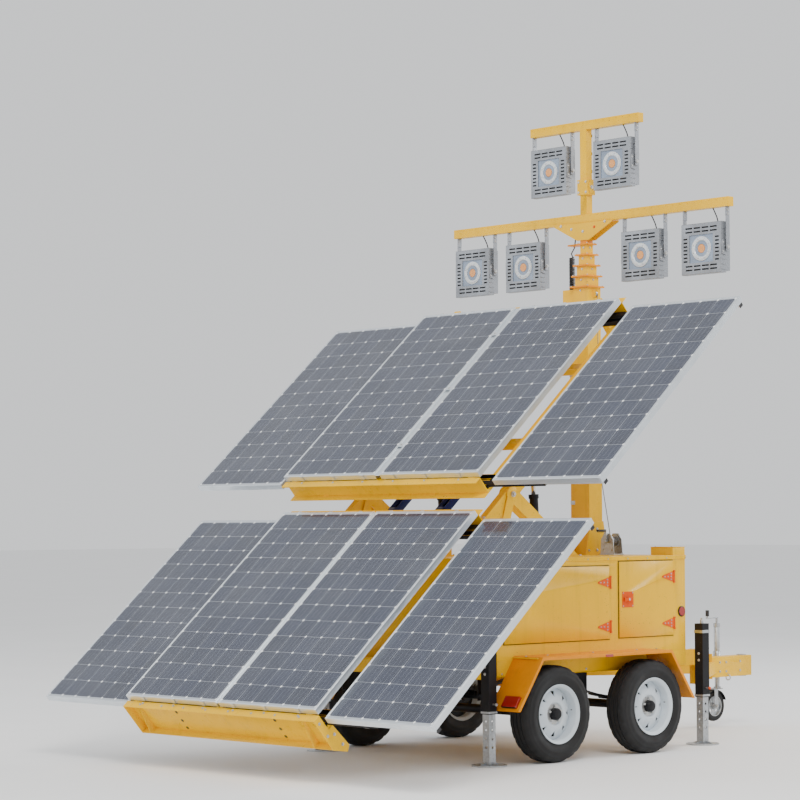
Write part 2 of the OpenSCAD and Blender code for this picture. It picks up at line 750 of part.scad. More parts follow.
module tyre(y, side) {
    w = tyre_w;
    bead = rim_r - 12;
    color(black) mirror([side < 0 ? 1 : 0, 0, 0])
        translate([wheel_out - w, y, tyre_r]) rotate([0, 90, 0]) rotate_extrude($fn = 96)
            polygon([[bead, 30], [rim_r + 18, 8], [rim_r + 70, 0], [tyre_r - 38, 8],
                     [tyre_r - 12, 20], [tyre_r - 2, 45], [tyre_r, 60], [tyre_r, w - 64],
                     [tyre_r - 2, w - 49], [tyre_r - 12, w - 24], [tyre_r - 38, w - 12],
                     [rim_r + 70, w - 4], [rim_r + 18, w - 12], [bead, w - 34],
                     [bead, w - 60], [bead - 2, w - 62], [bead - 2, 58], [bead, 56]]);
}
// Spoke rim with its hub, turning on the axle's spindle
module rim(y, side) {
    w = tyre_w;
    spokes = 8;
    disc_x = w - 62;
    seat = rim_r - 14;
    lip = rim_r + 6;
    color("#cfe0ea") mirror([side < 0 ? 1 : 0, 0, 0])
        translate([wheel_out - w, y, tyre_r]) difference() {
            union() {
                rotate([0, 90, 0]) rotate_extrude($fn = 96) polygon([
                    [seat, 29], [seat, w - 33], [lip - 2, w - 19], [lip, w - 10],
                    [lip - 4, w - 8], [lip - 8, w - 14], [seat - 4, w - 27], [seat - 4, 24],
                    [lip - 8, 12], [lip - 4, 6], [lip, 8], [lip - 2, 16]]);
                rotate([0, 90, 0]) rotate_extrude($fn = 96) polygon([
                    [spindle_r + run_fit, disc_x - 4], [74, disc_x - 4], [82, disc_x + 8],
                    [108, disc_x + 8], [seat - 3, disc_x - 34], [seat - 3, disc_x - 42],
                    [106, disc_x], [86, disc_x], [78, disc_x - 12], [48, disc_x - 12],
                    [48, 4], [spindle_r + run_fit, 4]]);
            }
            for (k = [0:spokes - 1]) rotate([k * 360 / spokes, 0, 0])
                translate([disc_x - 50, 0, 140]) rotate([0, 90, 0]) linear_extrude(80)
                    polygon([[20, 0], [-20, -19], [-20, 19]]);
        }
    color(black) mirror([side < 0 ? 1 : 0, 0, 0])
        translate([wheel_out - w, y, tyre_r]) {
            rotate([0, 90, 0]) translate([0, 0, disc_x - 4]) rotate_extrude()
                polygon([[spindle_r + 6, 0], [44, 0], [42, 30], [34, 42], [0, 42], [0, 34],
                         [spindle_r + 6, 34]]);
            for (k = [0:4]) rotate([k * 72, 0, 0]) translate([disc_x - 4, 0, 58])
                rotate([0, 90, 0]) cylinder(h = 20, r = 10, $fn = 6);
        }
}
axle_rear = axle_mid - axle_base / 2;
axle_front = axle_mid + axle_base / 2;
module rear_right_tyre() { tyre(axle_rear, 1); }
module rear_right_rim() { rim(axle_rear, 1); }
module rear_left_tyre() { tyre(axle_rear, -1); }
module rear_left_rim() { rim(axle_rear, -1); }
module front_right_tyre() { tyre(axle_front, 1); }
module front_right_rim() { rim(axle_front, 1); }
module front_left_tyre() { tyre(axle_front, -1); }
module front_left_rim() { rim(axle_front, -1); }

module jack_housings() {
    for (side = [-1, 1]) for (y = [0, jack_base])
        translate([side * jack_x, y, jack_bottom]) {
            color(black) square_tube(jack_w, jack_top - jack_bottom - 10, jack_wall);
            color(black) translate([0, 0, jack_top - jack_bottom - 10]) difference() {
                translate([-jack_w / 2, -jack_w / 2, 0]) cube([jack_w, jack_w, 10]);
                translate([0, 0, -1]) cylinder(h = 12, r = 13);
            }
            color(zinc) translate([0, 0, jack_top - jack_bottom]) cylinder(h = 26, r = 13);
        }
}
module jack_leg(x, y) {
    holes = 5;
    color(zinc) translate([x, y, 0]) {
        cylinder(h = 10, r = 125);
        translate([0, 0, 10]) difference() {
            square_tube(leg_w, 560, 4);
            for (k = [0:holes - 1]) translate([0, 0, 120 + k * 60]) {
                rod_x(-50, 50, 9);
                rotate([0, 0, 90]) rod_x(-50, 50, 9);
            }
        }
    }
}
module rear_right_jack_leg() { jack_leg(jack_x, 0); }
module rear_left_jack_leg() { jack_leg(-jack_x, 0); }
module front_right_jack_leg() { jack_leg(jack_x, jack_base); }
module front_left_jack_leg() { jack_leg(-jack_x, jack_base); }

// Jockey wheel: a leg that slides in its tube, the castor fork, the wheel and the crank on top
jockey_axle_z = jockey_lift + jockey_r;
jockey_trail = 55;
fork_z = jockey_axle_z + jockey_r + 12;
fork_t = 8;
module jockey_leg() {
    color(zinc) translate([jockey_x, jockey_y, 0]) {
        translate([0, 0, fork_z + fork_t + near])
            cylinder(h = jockey_top - 160 - fork_z, r = jockey_leg_r);
        translate([0, 0, fork_z + fork_t + near]) cylinder(h = 12, r = 30);
    }
}
module jockey_fork() {
    color(zinc) translate([jockey_x, jockey_y, 0]) {
        span([-36, -jockey_trail - 34, fork_z], [36, 30, fork_z + fork_t]);
        for (x = [-36, 31])
            span([x, -jockey_trail - 22, jockey_axle_z - 20],
                 [x + 5, -jockey_trail + 22, fork_z]);
        translate([0, -jockey_trail, jockey_axle_z]) rod_x(-42, 42, 8);
    }
}
module jockey_wheel() {
    hub_r = 26;
    translate([jockey_x, jockey_y - jockey_trail, jockey_axle_z]) {
        color(black) rotate([0, 90, 0]) translate([0, 0, -25]) rotate_extrude($fn = 64)
            polygon([[84, 4], [jockey_r - 14, 0], [jockey_r - 4, 8], [jockey_r, 20],
                     [jockey_r, 30], [jockey_r - 4, 42], [jockey_r - 14, 50], [84, 46]]);
        color(zinc) difference() {
            rotate([0, 90, 0]) translate([0, 0, -25]) rotate_extrude($fn = 64)
                polygon([[8 + run_fit, 0], [hub_r, 0], [hub_r, 20], [78, 20], [78, 4], [84, 4],
                         [84, 46], [78, 46], [78, 30], [hub_r, 30], [hub_r, 50],
                         [8 + run_fit, 50]]);
            for (k = [0:3]) rotate([45 + k * 90, 0, 0]) translate([0, 0, 54])
                rod_x(-30, 30, 14);
        }
    }
}
module jockey_crank() {
    color(zinc) translate([jockey_x, jockey_y, jockey_top + near]) {
        cylinder(h = 30, r = 28);
        cylinder(h = 80, r = 9);
        span([-10, -130, 70], [10, 10, 80]);
        translate([0, -120, 80]) cylinder(h = 14, r = 7);
    }
    color(black) translate([jockey_x, jockey_y - 120, jockey_top + 90 + near])
        cylinder(h = 50, r = 15);
}

// ---------------------------------------------------------------- mast
module collar(w) {
    color(yellow) linear_extrude(collar_t) difference() {
        square(w + 2 * collar_lip, center = true);
        square(w, center = true);
    }
}
module mast_tube(k, foot, top) {
    w = mast_w - k * mast_step;
    translate([0, mast_y, 0]) {
        color(yellow) translate([0, 0, foot]) square_tube(w, top - foot, mast_wall);
        translate([0, 0, top - collar_t]) collar(w);
    }
}
module mast_base_tube() {
    mast_tube(0, mast_foot, mast_top);
    color(yellow) translate([0, mast_y, floor_z + sheet]) difference() {
        translate([-110, -110, 0]) cube([220, 160, 2]);
        translate([-40, -40, -1]) cube([80, 80, 4]);
    }
}
module mast_section(k) {
    mast_tube(k, mast_foot + 30 * k, mast_top + k * collar_rise);
    w = mast_w - k * mast_step;
    color(black) translate([0, mast_y, mast_foot + 30 * k + 20]) linear_extrude(30)
        difference() {
            square(w + mast_step - 2 * mast_wall - 2 * near, center = true);
            square(w, center = true);
        }
}
module mast_section_2() { mast_section(1); }
module mast_section_3() { mast_section(2); }
module mast_section_4() { mast_section(3); }

module mast_head() {
    w = mast_w - 4 * mast_step;
    post_low = lower_bar_z + bar_h / 2;
    mast_tube(4, mast_foot + 120, head_z);
    color(black) translate([0, mast_y, mast_foot + 140]) linear_extrude(30) difference() {
        square(w + mast_step - 2 * mast_wall - 2 * near, center = true);
        square(w, center = true);
    }
    color(yellow) translate([0, mast_y, 0]) {
        translate([0, 0, head_z]) square_tube(w, lower_bar_z - bar_h / 2 - head_z, mast_wall);
        for (y = [-w / 2 - 8, w / 2]) translate([0, y + 8, 0]) rotate([90, 0, 0])
            linear_extrude(8) polygon([
                [-300, lower_bar_z - bar_h / 2], [300, lower_bar_z - bar_h / 2],
                [300, lower_bar_z - bar_h / 2 - 12], [60, head_z + 24], [-60, head_z + 24],
                [-300, lower_bar_z - bar_h / 2 - 12]]);
        span([-lower_bar_l / 2, -bar_w / 2, lower_bar_z - bar_h / 2],
             [lower_bar_l / 2, bar_w / 2, lower_bar_z + bar_h / 2]);
        span([-post_w / 2, -post_w / 2, post_low],
             [post_w / 2, post_w / 2, upper_bar_z - bar_h / 2]);
        span([-52, -46, post_low + 150], [52, 46, post_low + 270]);
        span([-upper_bar_l / 2, -bar_w / 2, upper_bar_z - bar_h / 2],
             [upper_bar_l / 2, bar_w / 2, upper_bar_z + bar_h / 2]);
        translate([0, 0, head_z - collar_t])
            span([-165, -40, 0], [-w / 2 - collar_lip, 40, collar_t]);
    }
    color(zinc) for (k = [0:5]) translate([light_xs[k], mast_y, light_z(k)]) yoke();
}
function light_z(k) = (k < 4 ? lower_bar_z : upper_bar_z) - light_drop;
module yoke() {
    x = light_w / 2 + leg_gap;
    top = light_drop - bar_h / 2;
    difference() {
        for (e = [-x - yoke_t, x]) span([e, -yoke_w / 2, -30], [e + yoke_t, yoke_w / 2, top]);
        rod_x(-x - 10, x + 10, 8 + run_fit);
    }
}
// Floodlight: slotted face, finned back and side plates with the pivot studs
module light(k) {
    h = light_w / 2;
    fins = 9;
    translate([light_xs[k], mast_y, light_z(k)]) {
        color(zinc) difference() {
            span([-h, -light_d / 2, -h], [h, light_d / 2 - 60, h]);
            translate([0, -light_d / 2 - 1, 0]) rotate([-90, 0, 0]) cylinder(h = 12, r = 95);
        }
        color(zinc) for (f = [0:fins - 1])
            translate([-h + 10 + f * (light_w - 28) / (fins - 1), 0, 0])
                span([0, light_d / 2 - 60, -h + 16], [8, light_d / 2, h - 16]);
        color("#e9a24a") translate([0, -light_d / 2 + 11, 0]) rotate([90, 0, 0])
            cylinder(h = 4, r = 32);
        color(zinc) {
            rod_x(-h - leg_gap - yoke_t - 6, -h, 8);
            rod_x(h, h + leg_gap + yoke_t + 6, 8);
        }
    }
}
module light_1() { light(0); }
module light_2() { light(1); }
module light_3() { light(2); }
module light_4() { light(3); }
module light_5() { light(4); }
module light_6() { light(5); }

// Brace and duct beside the mast, with the cable tray and the rope's sheave
module mast_support() {
    half = mast_w / 2;
    cheek = sheave_x - half + 12;
    color(yellow) {
        translate([0, mast_y, roof_z]) {
            span([duct_x, -45, 0], [-half, 45, mast_top - roof_z - 130]);
            difference() {
                span([duct_x - 60, -55, mast_top - roof_z - 130],
                     [-half, 55, mast_top - roof_z - 20]);
                span([duct_x - 50, -45, mast_top - roof_z - 120],
                     [-half - 10, 45, mast_top - roof_z]);
            }
            for (x = [-half - 12, half]) along_x(x, x + 12)
                polygon([[-half - 50, 0], [half + 50, 0], [half, 260], [-half, 260]]);
            for (y = [-20, 14]) for (z = [sheave_z, mast_top - 60])
                span([half, y, z - roof_z - 30], [half + cheek, y + 6, z - roof_z + 30]);
        }
    }
    color(zinc) for (z = [sheave_z, mast_top - 60])
        translate([sheave_x, mast_y, z]) rotate([90, 0, 0]) {
            translate([0, 0, -20]) cylinder(h = 40, r = 6);
            translate([0, 0, -9]) cylinder(h = 18, r = sheave_r);
        }
}
module winch_frame() {
    color(zinc) translate([winch_x, mast_y, roof_z]) {
        span([-75, -60, 0], [75, 60, 8]);
        difference() {
            for (y = [-52, 46]) rotate([90, 0, 0]) translate([0, 0, -y - 6]) linear_extrude(6)
                polygon([[-70, 8], [70, 8], [62, 120], [30, 165], [-30, 165], [-62, 120]]);
            translate([0, -80, winch_z - roof_z]) rotate([-90, 0, 0])
                cylinder(h = 160, r = 12 + run_fit);
        }
    }
}
module winch_drum() {
    color(zinc) translate([winch_x, mast_y, winch_z]) rotate([90, 0, 0]) {
        translate([0, 0, -66]) cylinder(h = 150, r = 12);
        translate([0, 0, -34]) cylinder(h = 68, r = drum_r);
        for (z = [-42, 36]) translate([0, 0, z]) cylinder(h = 6, r = 46);
        translate([-11, -10, 66]) cube([22, crank_arm + 10, 8]);
    }
    color(black) translate([winch_x, mast_y - 74, winch_z + crank_arm - 12]) rotate([90, 0, 0])
        cylinder(h = 90, r = 11);
}
module winch_rope() {
    r = 3;
    run_x = sheave_x + sheave_r + r + near;
    drum = [winch_x - 10, mast_y, winch_z + drum_r + r + near];
    color(black) sweep([drum, [run_x + 8, mast_y, sheave_z - 40], [run_x, mast_y, sheave_z],
        [run_x, mast_y, sheave_z + 60], [run_x, mast_y, mast_top - 60]], r);
}
// Coiled cable from the tray up to the head's arm, and the thin lead on to the head
module head_cable() {
    tray = mast_top - 120 + near;
    coil_x = duct_x - 10;
    color(black) {
        translate([coil_x, mast_y, tray + 60]) cylinder(h = 300, r = 24);
        sweep([[coil_x, mast_y, tray + 360 + near], [coil_x - 6, mast_y, tray + 390],
               [coil_x - 14, mast_y + 46, tray + 440], [coil_x - 10, mast_y + 52, tray + 500],
               [coil_x + 10, mast_y + 52, tray + 560], [coil_x + 20, mast_y + 52, tray + 600],
               [coil_x + 22, mast_y + 48, tray + 630], [coil_x + 24, mast_y + 36, tray + 650]],
              5);
        translate([coil_x, mast_y, tray]) cylinder(h = 60, r = 8);
    }
}

place() chassis_frame();
place() drawbar();
place() cabinet_shell();
place() cabinet_roof();
place() battery_bank();
place() charge_controller();
place() fenders();
place() axles();
place() leaf_springs();
place() jack_housings();
place() tail_lamps();
place() array_supports();
place() mast_base_tube();
place() mast_support();
place() winch_frame();
place() winch_rope();
place() head_cable();
place() right_rear_door();
place() right_front_door();
place() left_door();
place() right_rear_latch();
place() right_front_latch();
place() left_latch();
place() upper_frame();
place() upper_centre_panels();
place() upper_right_panel();
place() upper_left_panel();
place() lower_frame();
place() lower_centre_panels();
place() lower_right_panel();
place() lower_left_panel();
place() lift_barrels();
place() lift_rods();
place() rear_right_tyre();
place() rear_right_rim();
place() rear_left_tyre();
place() rear_left_rim();
place() front_right_tyre();
place() front_right_rim();
place() front_left_tyre();
place() front_left_rim();
place() rear_right_jack_leg();
place() rear_left_jack_leg();
place() front_right_jack_leg();
place() front_left_jack_leg();
place() jockey_leg();
place() jockey_fork();
place() jockey_wheel();
place() jockey_crank();
place() winch_drum();
place() mast_section_2();
place() mast_section_3();
place() mast_section_4();
place() mast_head();
place() light_1();
place() light_2();
place() light_3();
place() light_4();
place() light_5();
place() light_6();
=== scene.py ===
"""Looks of a solar light tower trailer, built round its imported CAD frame.

Lengths are millimetres in the trailer's own frame (x to the right, y forward from the rear
jacks' centreline, z up) until a Draft turns them into metres in the frame of the CAD parts.
"""

import json
import logging
import math
from dataclasses import dataclass
from enum import Enum
from itertools import product
from typing import Callable, Dict, Iterable, List, Optional, Sequence, Tuple

import bmesh
import bpy
from mathutils import Matrix, Vector


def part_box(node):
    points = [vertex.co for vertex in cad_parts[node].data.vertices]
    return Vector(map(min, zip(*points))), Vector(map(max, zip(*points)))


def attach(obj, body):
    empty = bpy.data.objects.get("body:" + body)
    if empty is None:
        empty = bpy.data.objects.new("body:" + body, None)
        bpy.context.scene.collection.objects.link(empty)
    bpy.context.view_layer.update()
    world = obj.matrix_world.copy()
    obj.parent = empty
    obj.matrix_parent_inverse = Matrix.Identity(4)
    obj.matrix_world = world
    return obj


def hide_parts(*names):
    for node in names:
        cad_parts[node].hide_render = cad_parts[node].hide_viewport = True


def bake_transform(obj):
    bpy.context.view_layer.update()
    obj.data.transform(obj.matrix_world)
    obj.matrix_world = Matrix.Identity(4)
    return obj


LOG = logging.getLogger("light_tower")
Point = Tuple[float, float, float]
Flat = Tuple[float, float]
Colour = Tuple[float, float, float]
UP: Point = (0, 0, 1)
REAR: Point = (0, -1, 0)
AHEAD: Point = (0, 1, 0)

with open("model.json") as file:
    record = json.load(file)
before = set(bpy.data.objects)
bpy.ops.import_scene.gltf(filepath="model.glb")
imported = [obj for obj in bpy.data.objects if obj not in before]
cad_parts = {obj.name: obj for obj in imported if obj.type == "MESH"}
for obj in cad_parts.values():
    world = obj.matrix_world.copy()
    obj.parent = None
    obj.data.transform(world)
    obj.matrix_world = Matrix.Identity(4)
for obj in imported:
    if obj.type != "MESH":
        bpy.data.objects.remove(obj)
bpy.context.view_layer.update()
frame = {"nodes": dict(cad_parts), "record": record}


def trailer_frame() -> Matrix:
    """Find the matrix from trailer millimetres to the metres of the CAD frame.

    Returns:
        A matrix that scales to metres and moves the trailer's origin to its place.
    """
    low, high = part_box("mast_section_4")
    shift = (low.y + high.y) / 2 - 2.005
    return Matrix.Translation((0, shift, 0)) @ Matrix.Scale(0.001, 4)


@dataclass(frozen=True)
class Slope:
    """Where the solar arrays lie: the hinge line, the tilt and the pivot below the panels."""

    hinge_y: float = 340.0
    hinge_z: float = 1895.0
    tilt: float = 41.0
    pivot_s: float = 350.0
    pivot_z: float = -500.0
    lower_s: float = -2137.0
    drop: float = 192.0

    def upper(self) -> Matrix:
        """Matrix from the upper array's slope coordinates to the CAD frame."""
        turn = Matrix.Rotation(math.radians(self.tilt), 4, "X")
        hinge = Matrix.Translation((0, self.hinge_y, self.hinge_z))
        pivot = Matrix.Translation((0, -self.pivot_s, -self.pivot_z))
        return TRAILER @ hinge @ turn @ pivot

    def lower(self) -> Matrix:
        """Matrix from the lower array's slope coordinates to the CAD frame."""
        return self.upper() @ Matrix.Translation((0, self.lower_s, -self.drop))


TRAILER = trailer_frame()
SLOPE = Slope()
UPPER = SLOPE.upper()
LOWER = SLOPE.lower()


# ------------------------------------------------------------------ finishes
class Shade:
    """Node tree of one material, with short calls for the nodes that the finishes share."""

    def __init__(self, name: str) -> None:
        """Start a material with a Principled surface.

        Args:
            name: the material's name.
        """
        self.material = bpy.data.materials.new(name)
        self.material.use_nodes = True
        self.tree = self.material.node_tree
        self.surface = next(n for n in self.tree.nodes if n.type == "BSDF_PRINCIPLED")
        spots = self.tree.nodes.new("ShaderNodeTexCoord")
        self.place = spots.outputs["Object"]
        self.sheet = spots.outputs["UV"]

    def put(self, socket: bpy.types.NodeSocket, value: object) -> None:
        """Link or set one input, whichever the value calls for."""
        if isinstance(value, bpy.types.NodeSocket):
            self.tree.links.new(value, socket)
        elif isinstance(value, tuple) and len(value) == 3 and socket.type == "RGBA":
            socket.default_value = (*value, 1.0)
        else:
            socket.default_value = value

    def set(self, **values: object) -> None:
        """Put values on the surface's sockets; an underscore in a name stands for a space."""
        for name, value in values.items():
            self.put(self.surface.inputs[name.replace("_", " ")], value)

    def noise(self, scale: float, detail: float = 3.0, stretch: Point = (1, 1, 1),
              rough: float = 0.55) -> bpy.types.NodeSocket:
        """Make a noise value from the place on the part.

        Args:
            scale: how many blotches a metre holds.
            detail: how many finer layers it has.
            stretch: scale along x, y and z.
            rough: how strong the finer layers are.

        Returns:
            The value's socket.
        """
        spot = self.tree.nodes.new("ShaderNodeMapping")
        spot.inputs["Scale"].default_value = stretch
        self.put(spot.inputs["Vector"], self.place)
        node = self.tree.nodes.new("ShaderNodeTexNoise")
        node.inputs["Scale"].default_value = scale
        node.inputs["Detail"].default_value = detail
        node.inputs["Roughness"].default_value = rough
        self.put(node.inputs["Vector"], spot.outputs["Vector"])
        return node.outputs[0]

    def cells(self, scale: float) -> bpy.types.NodeSocket:
        """A flat random value for each cell of a Voronoi pattern."""
        node = self.tree.nodes.new("ShaderNodeTexVoronoi")
        node.inputs["Scale"].default_value = scale
        self.put(node.inputs["Vector"], self.place)
        grey = self.tree.nodes.new("ShaderNodeRGBToBW")
        self.put(grey.inputs[0], node.outputs["Color"])
        return grey.outputs[0]

    def steps(self, value: bpy.types.NodeSocket, low: float, high: float,
              out_low: float = 0.0, out_high: float = 1.0) -> bpy.types.NodeSocket:
        """Spread the stretch from low to high over out_low to out_high, clamped."""
        node = self.tree.nodes.new("ShaderNodeMapRange")
        for name, number in (("From Min", low), ("From Max", high),
                             ("To Min", out_low), ("To Max", out_high)):
            node.inputs[name].default_value = number
        self.put(node.inputs["Value"], value)
        return node.outputs["Result"]

    def calc(self, work: str, first: object, second: object = 0.0) -> bpy.types.NodeSocket:
        """Do one sum on two values or sockets."""
        node = self.tree.nodes.new("ShaderNodeMath")
        node.operation = work
        self.put(node.inputs[0], first)
        self.put(node.inputs[1], second)
        return node.outputs[0]

    def mix(self, amount: object, first: object, second: object) -> bpy.types.NodeSocket:
        """Mix two colours by an amount from 0 to 1."""
        node = self.tree.nodes.new("ShaderNodeMix")
        node.data_type = "RGBA"
        self.put(node.inputs["Factor"], amount)
        self.put([s for s in node.inputs if s.name == "A" and s.type == "RGBA"][0], first)
        self.put([s for s in node.inputs if s.name == "B" and s.type == "RGBA"][0], second)
        return next(s for s in node.outputs if s.type == "RGBA")

    def upward(self, low: float = 0.75) -> bpy.types.NodeSocket:
        """A mask of the faces that look up, where dust settles."""
        shape = self.tree.nodes.new("ShaderNodeNewGeometry")
        parts = self.tree.nodes.new("ShaderNodeSeparateXYZ")
        self.put(parts.inputs[0], shape.outputs["Normal"])
        return self.steps(parts.outputs["Z"], low, 1.0)

    def bump(self, height: object, strength: float, depth: float) -> None:
        """Raise the surface by a height pattern, depth metres at most."""
        node = self.tree.nodes.new("ShaderNodeBump")
        node.inputs["Strength"].default_value = strength
        node.inputs["Distance"].default_value = depth
        self.put(node.inputs["Height"], height)
        self.put(self.surface.inputs["Normal"], node.outputs["Normal"])


MADE: Dict[str, bpy.types.Material] = {}


def shade_of(colour: Colour, factor: float) -> Colour:
    """A lighter or darker shade of a colour."""
    return tuple(min(1.0, c * factor) for c in colour)


@dataclass(frozen=True)
class Finish:
    """What a surface is made of: its name, the record's slot for it and its colour."""

    name: str
    slot: str
    colour: Colour

    def material(self) -> bpy.types.Material:
        """The finish's material, made once."""
        if self.name not in MADE:
            shade = Shade(self.name)
            self.dress(shade)
            shade.material.diffuse_color = (*self.colour, 1.0)
            MADE[self.name] = shade.material
        return MADE[self.name]

    def dress(self, shade: Shade) -> None:
        """Set the node tree; each kind of finish has its own."""
        shade.set(Base_Color=self.colour)


@dataclass(frozen=True)
class Enamel(Finish):
    """Gloss paint with orange peel, dust on top faces, rain streaks and small chips."""

    dust: float = 0.3
    gloss: float = 0.28
    chip: Colour = (0.09, 0.07, 0.06)

    def dress(self, shade: Shade) -> None:
        """Paint over steel, a few seasons old."""
        broad = shade.noise(1.7, 4)
        tone = shade.mix(shade.steps(broad, 0.38, 0.66), self.colour, shade_of(self.colour, 0.88))
        streak = shade.steps(shade.noise(16, 4, (1, 1, 0.07)), 0.56, 0.74, 0, 0.28)
        tone = shade.mix(streak, tone, shade_of(self.colour, 0.55))
        settled = shade.calc("MULTIPLY", shade.upward(), shade.steps(shade.noise(7, 5), 0.35, 0.7))
        tone = shade.mix(shade.calc("MULTIPLY", settled, self.dust), tone, (0.42, 0.38, 0.31))
        spots = shade.calc("MULTIPLY", shade.steps(shade.noise(95, 2), 0.70, 0.72),
                           shade.steps(shade.noise(4, 2), 0.52, 0.6))
        tone = shade.mix(spots, tone, self.chip)
        rough = shade.steps(shade.noise(11, 5), 0.3, 0.7, self.gloss - 0.06, self.gloss + 0.14)
        peel = shade.noise(230, 1)
        shade.set(Base_Color=tone, Roughness=shade.calc("ADD", rough,
                  shade.calc("MULTIPLY", settled, 0.25)),
                  Specular_IOR_Level=0.15, Coat_Weight=0.04, Coat_Roughness=0.12)
        shade.bump(shade.calc("SUBTRACT", peel, spots), 0.12, 0.0006)


@dataclass(frozen=True)
class Galvanised(Finish):
    """Hot-dip zinc: spangles, dull patches and white bloom."""

    spangle: float = 70.0

    def dress(self, shade: Shade) -> None:
        """Spangled zinc that has dulled outdoors."""
        flake = shade.cells(self.spangle)
        tone = shade.mix(shade.steps(flake, 0.2, 0.8), shade_of(self.colour, 0.78), self.colour)
        bloom = shade.steps(shade.noise(5, 5), 0.5, 0.72, 0, 0.55)
        tone = shade.mix(bloom, tone, (0.62, 0.63, 0.64))
        rough = shade.steps(shade.calc("ADD", flake, bloom), 0, 1.4, 0.3, 0.62)
        shade.set(Base_Color=tone, Metallic=0.85, Roughness=rough)
        shade.bump(shade.noise(120, 3), 0.15, 0.0006)


@dataclass(frozen=True)
class BrushedMetal(Finish):
    """Drawn or brushed metal with fine lines along one way."""

    grain: Point = (1, 1, 1)
    rough: float = 0.3

    def dress(self, shade: Shade) -> None:
        """Fine lines, a little smear and fingerprints."""
        line = shade.noise(260, 2, self.grain)
        smear = shade.noise(6, 4)
        tone = shade.mix(shade.steps(line, 0.3, 0.7), shade_of(self.colour, 0.86), self.colour)
        tone = shade.mix(shade.steps(smear, 0.55, 0.8, 0, 0.3), tone, shade_of(self.colour, 0.7))
        shade.set(Base_Color=tone, Metallic=0.9,
                  Roughness=shade.steps(smear, 0.3, 0.75, self.rough - 0.06, self.rough + 0.16))
        shade.bump(line, 0.08, 0.0003)


@dataclass(frozen=True)
class Moulded(Finish):
    """Moulded plastic or satin coating with a fine stipple and faded tops."""

    rough: float = 0.45
    fade: float = 0.4
    grit: float = 320.0

    def dress(self, shade: Shade) -> None:
        """Stippled skin, paler where the sun has reached it."""
        cloud = shade.noise(8, 5)
        tone = shade.mix(shade.steps(cloud, 0.35, 0.7), self.colour, shade_of(self.colour, 1.5))
        top = shade.calc("MULTIPLY", shade.upward(0.5), shade.steps(cloud, 0.3, 0.7, 0.2, 1))
        tone = shade.mix(shade.calc("MULTIPLY", top, self.fade), tone, (0.16, 0.155, 0.15))
        shade.set(Base_Color=tone,
                  Roughness=shade.steps(cloud, 0.3, 0.7, self.rough - 0.07, self.rough + 0.15))
        shade.bump(shade.noise(self.grit, 2), 0.2, 0.0004)


@dataclass(frozen=True)
class TreadRubber(Finish):
    """Vulcanised rubber, dusty in the grooves and scuffed on the tread."""

    def dress(self, shade: Shade) -> None:
        """Dark rubber with brown road dust."""
        cloud = shade.noise(9, 6)
        tone = shade.mix(shade.steps(cloud, 0.42, 0.75, 0, 0.3), self.colour, (0.030, 0.027, 0.024))
        fine = shade.noise(180, 4)
        tone = shade.mix(shade.steps(fine, 0.5, 0.8, 0, 0.2), tone, (0.022, 0.021, 0.020))
        shade.set(Base_Color=tone, Roughness=shade.steps(cloud, 0.3, 0.7, 0.62, 0.88))
        shade.bump(fine, 0.35, 0.0008)


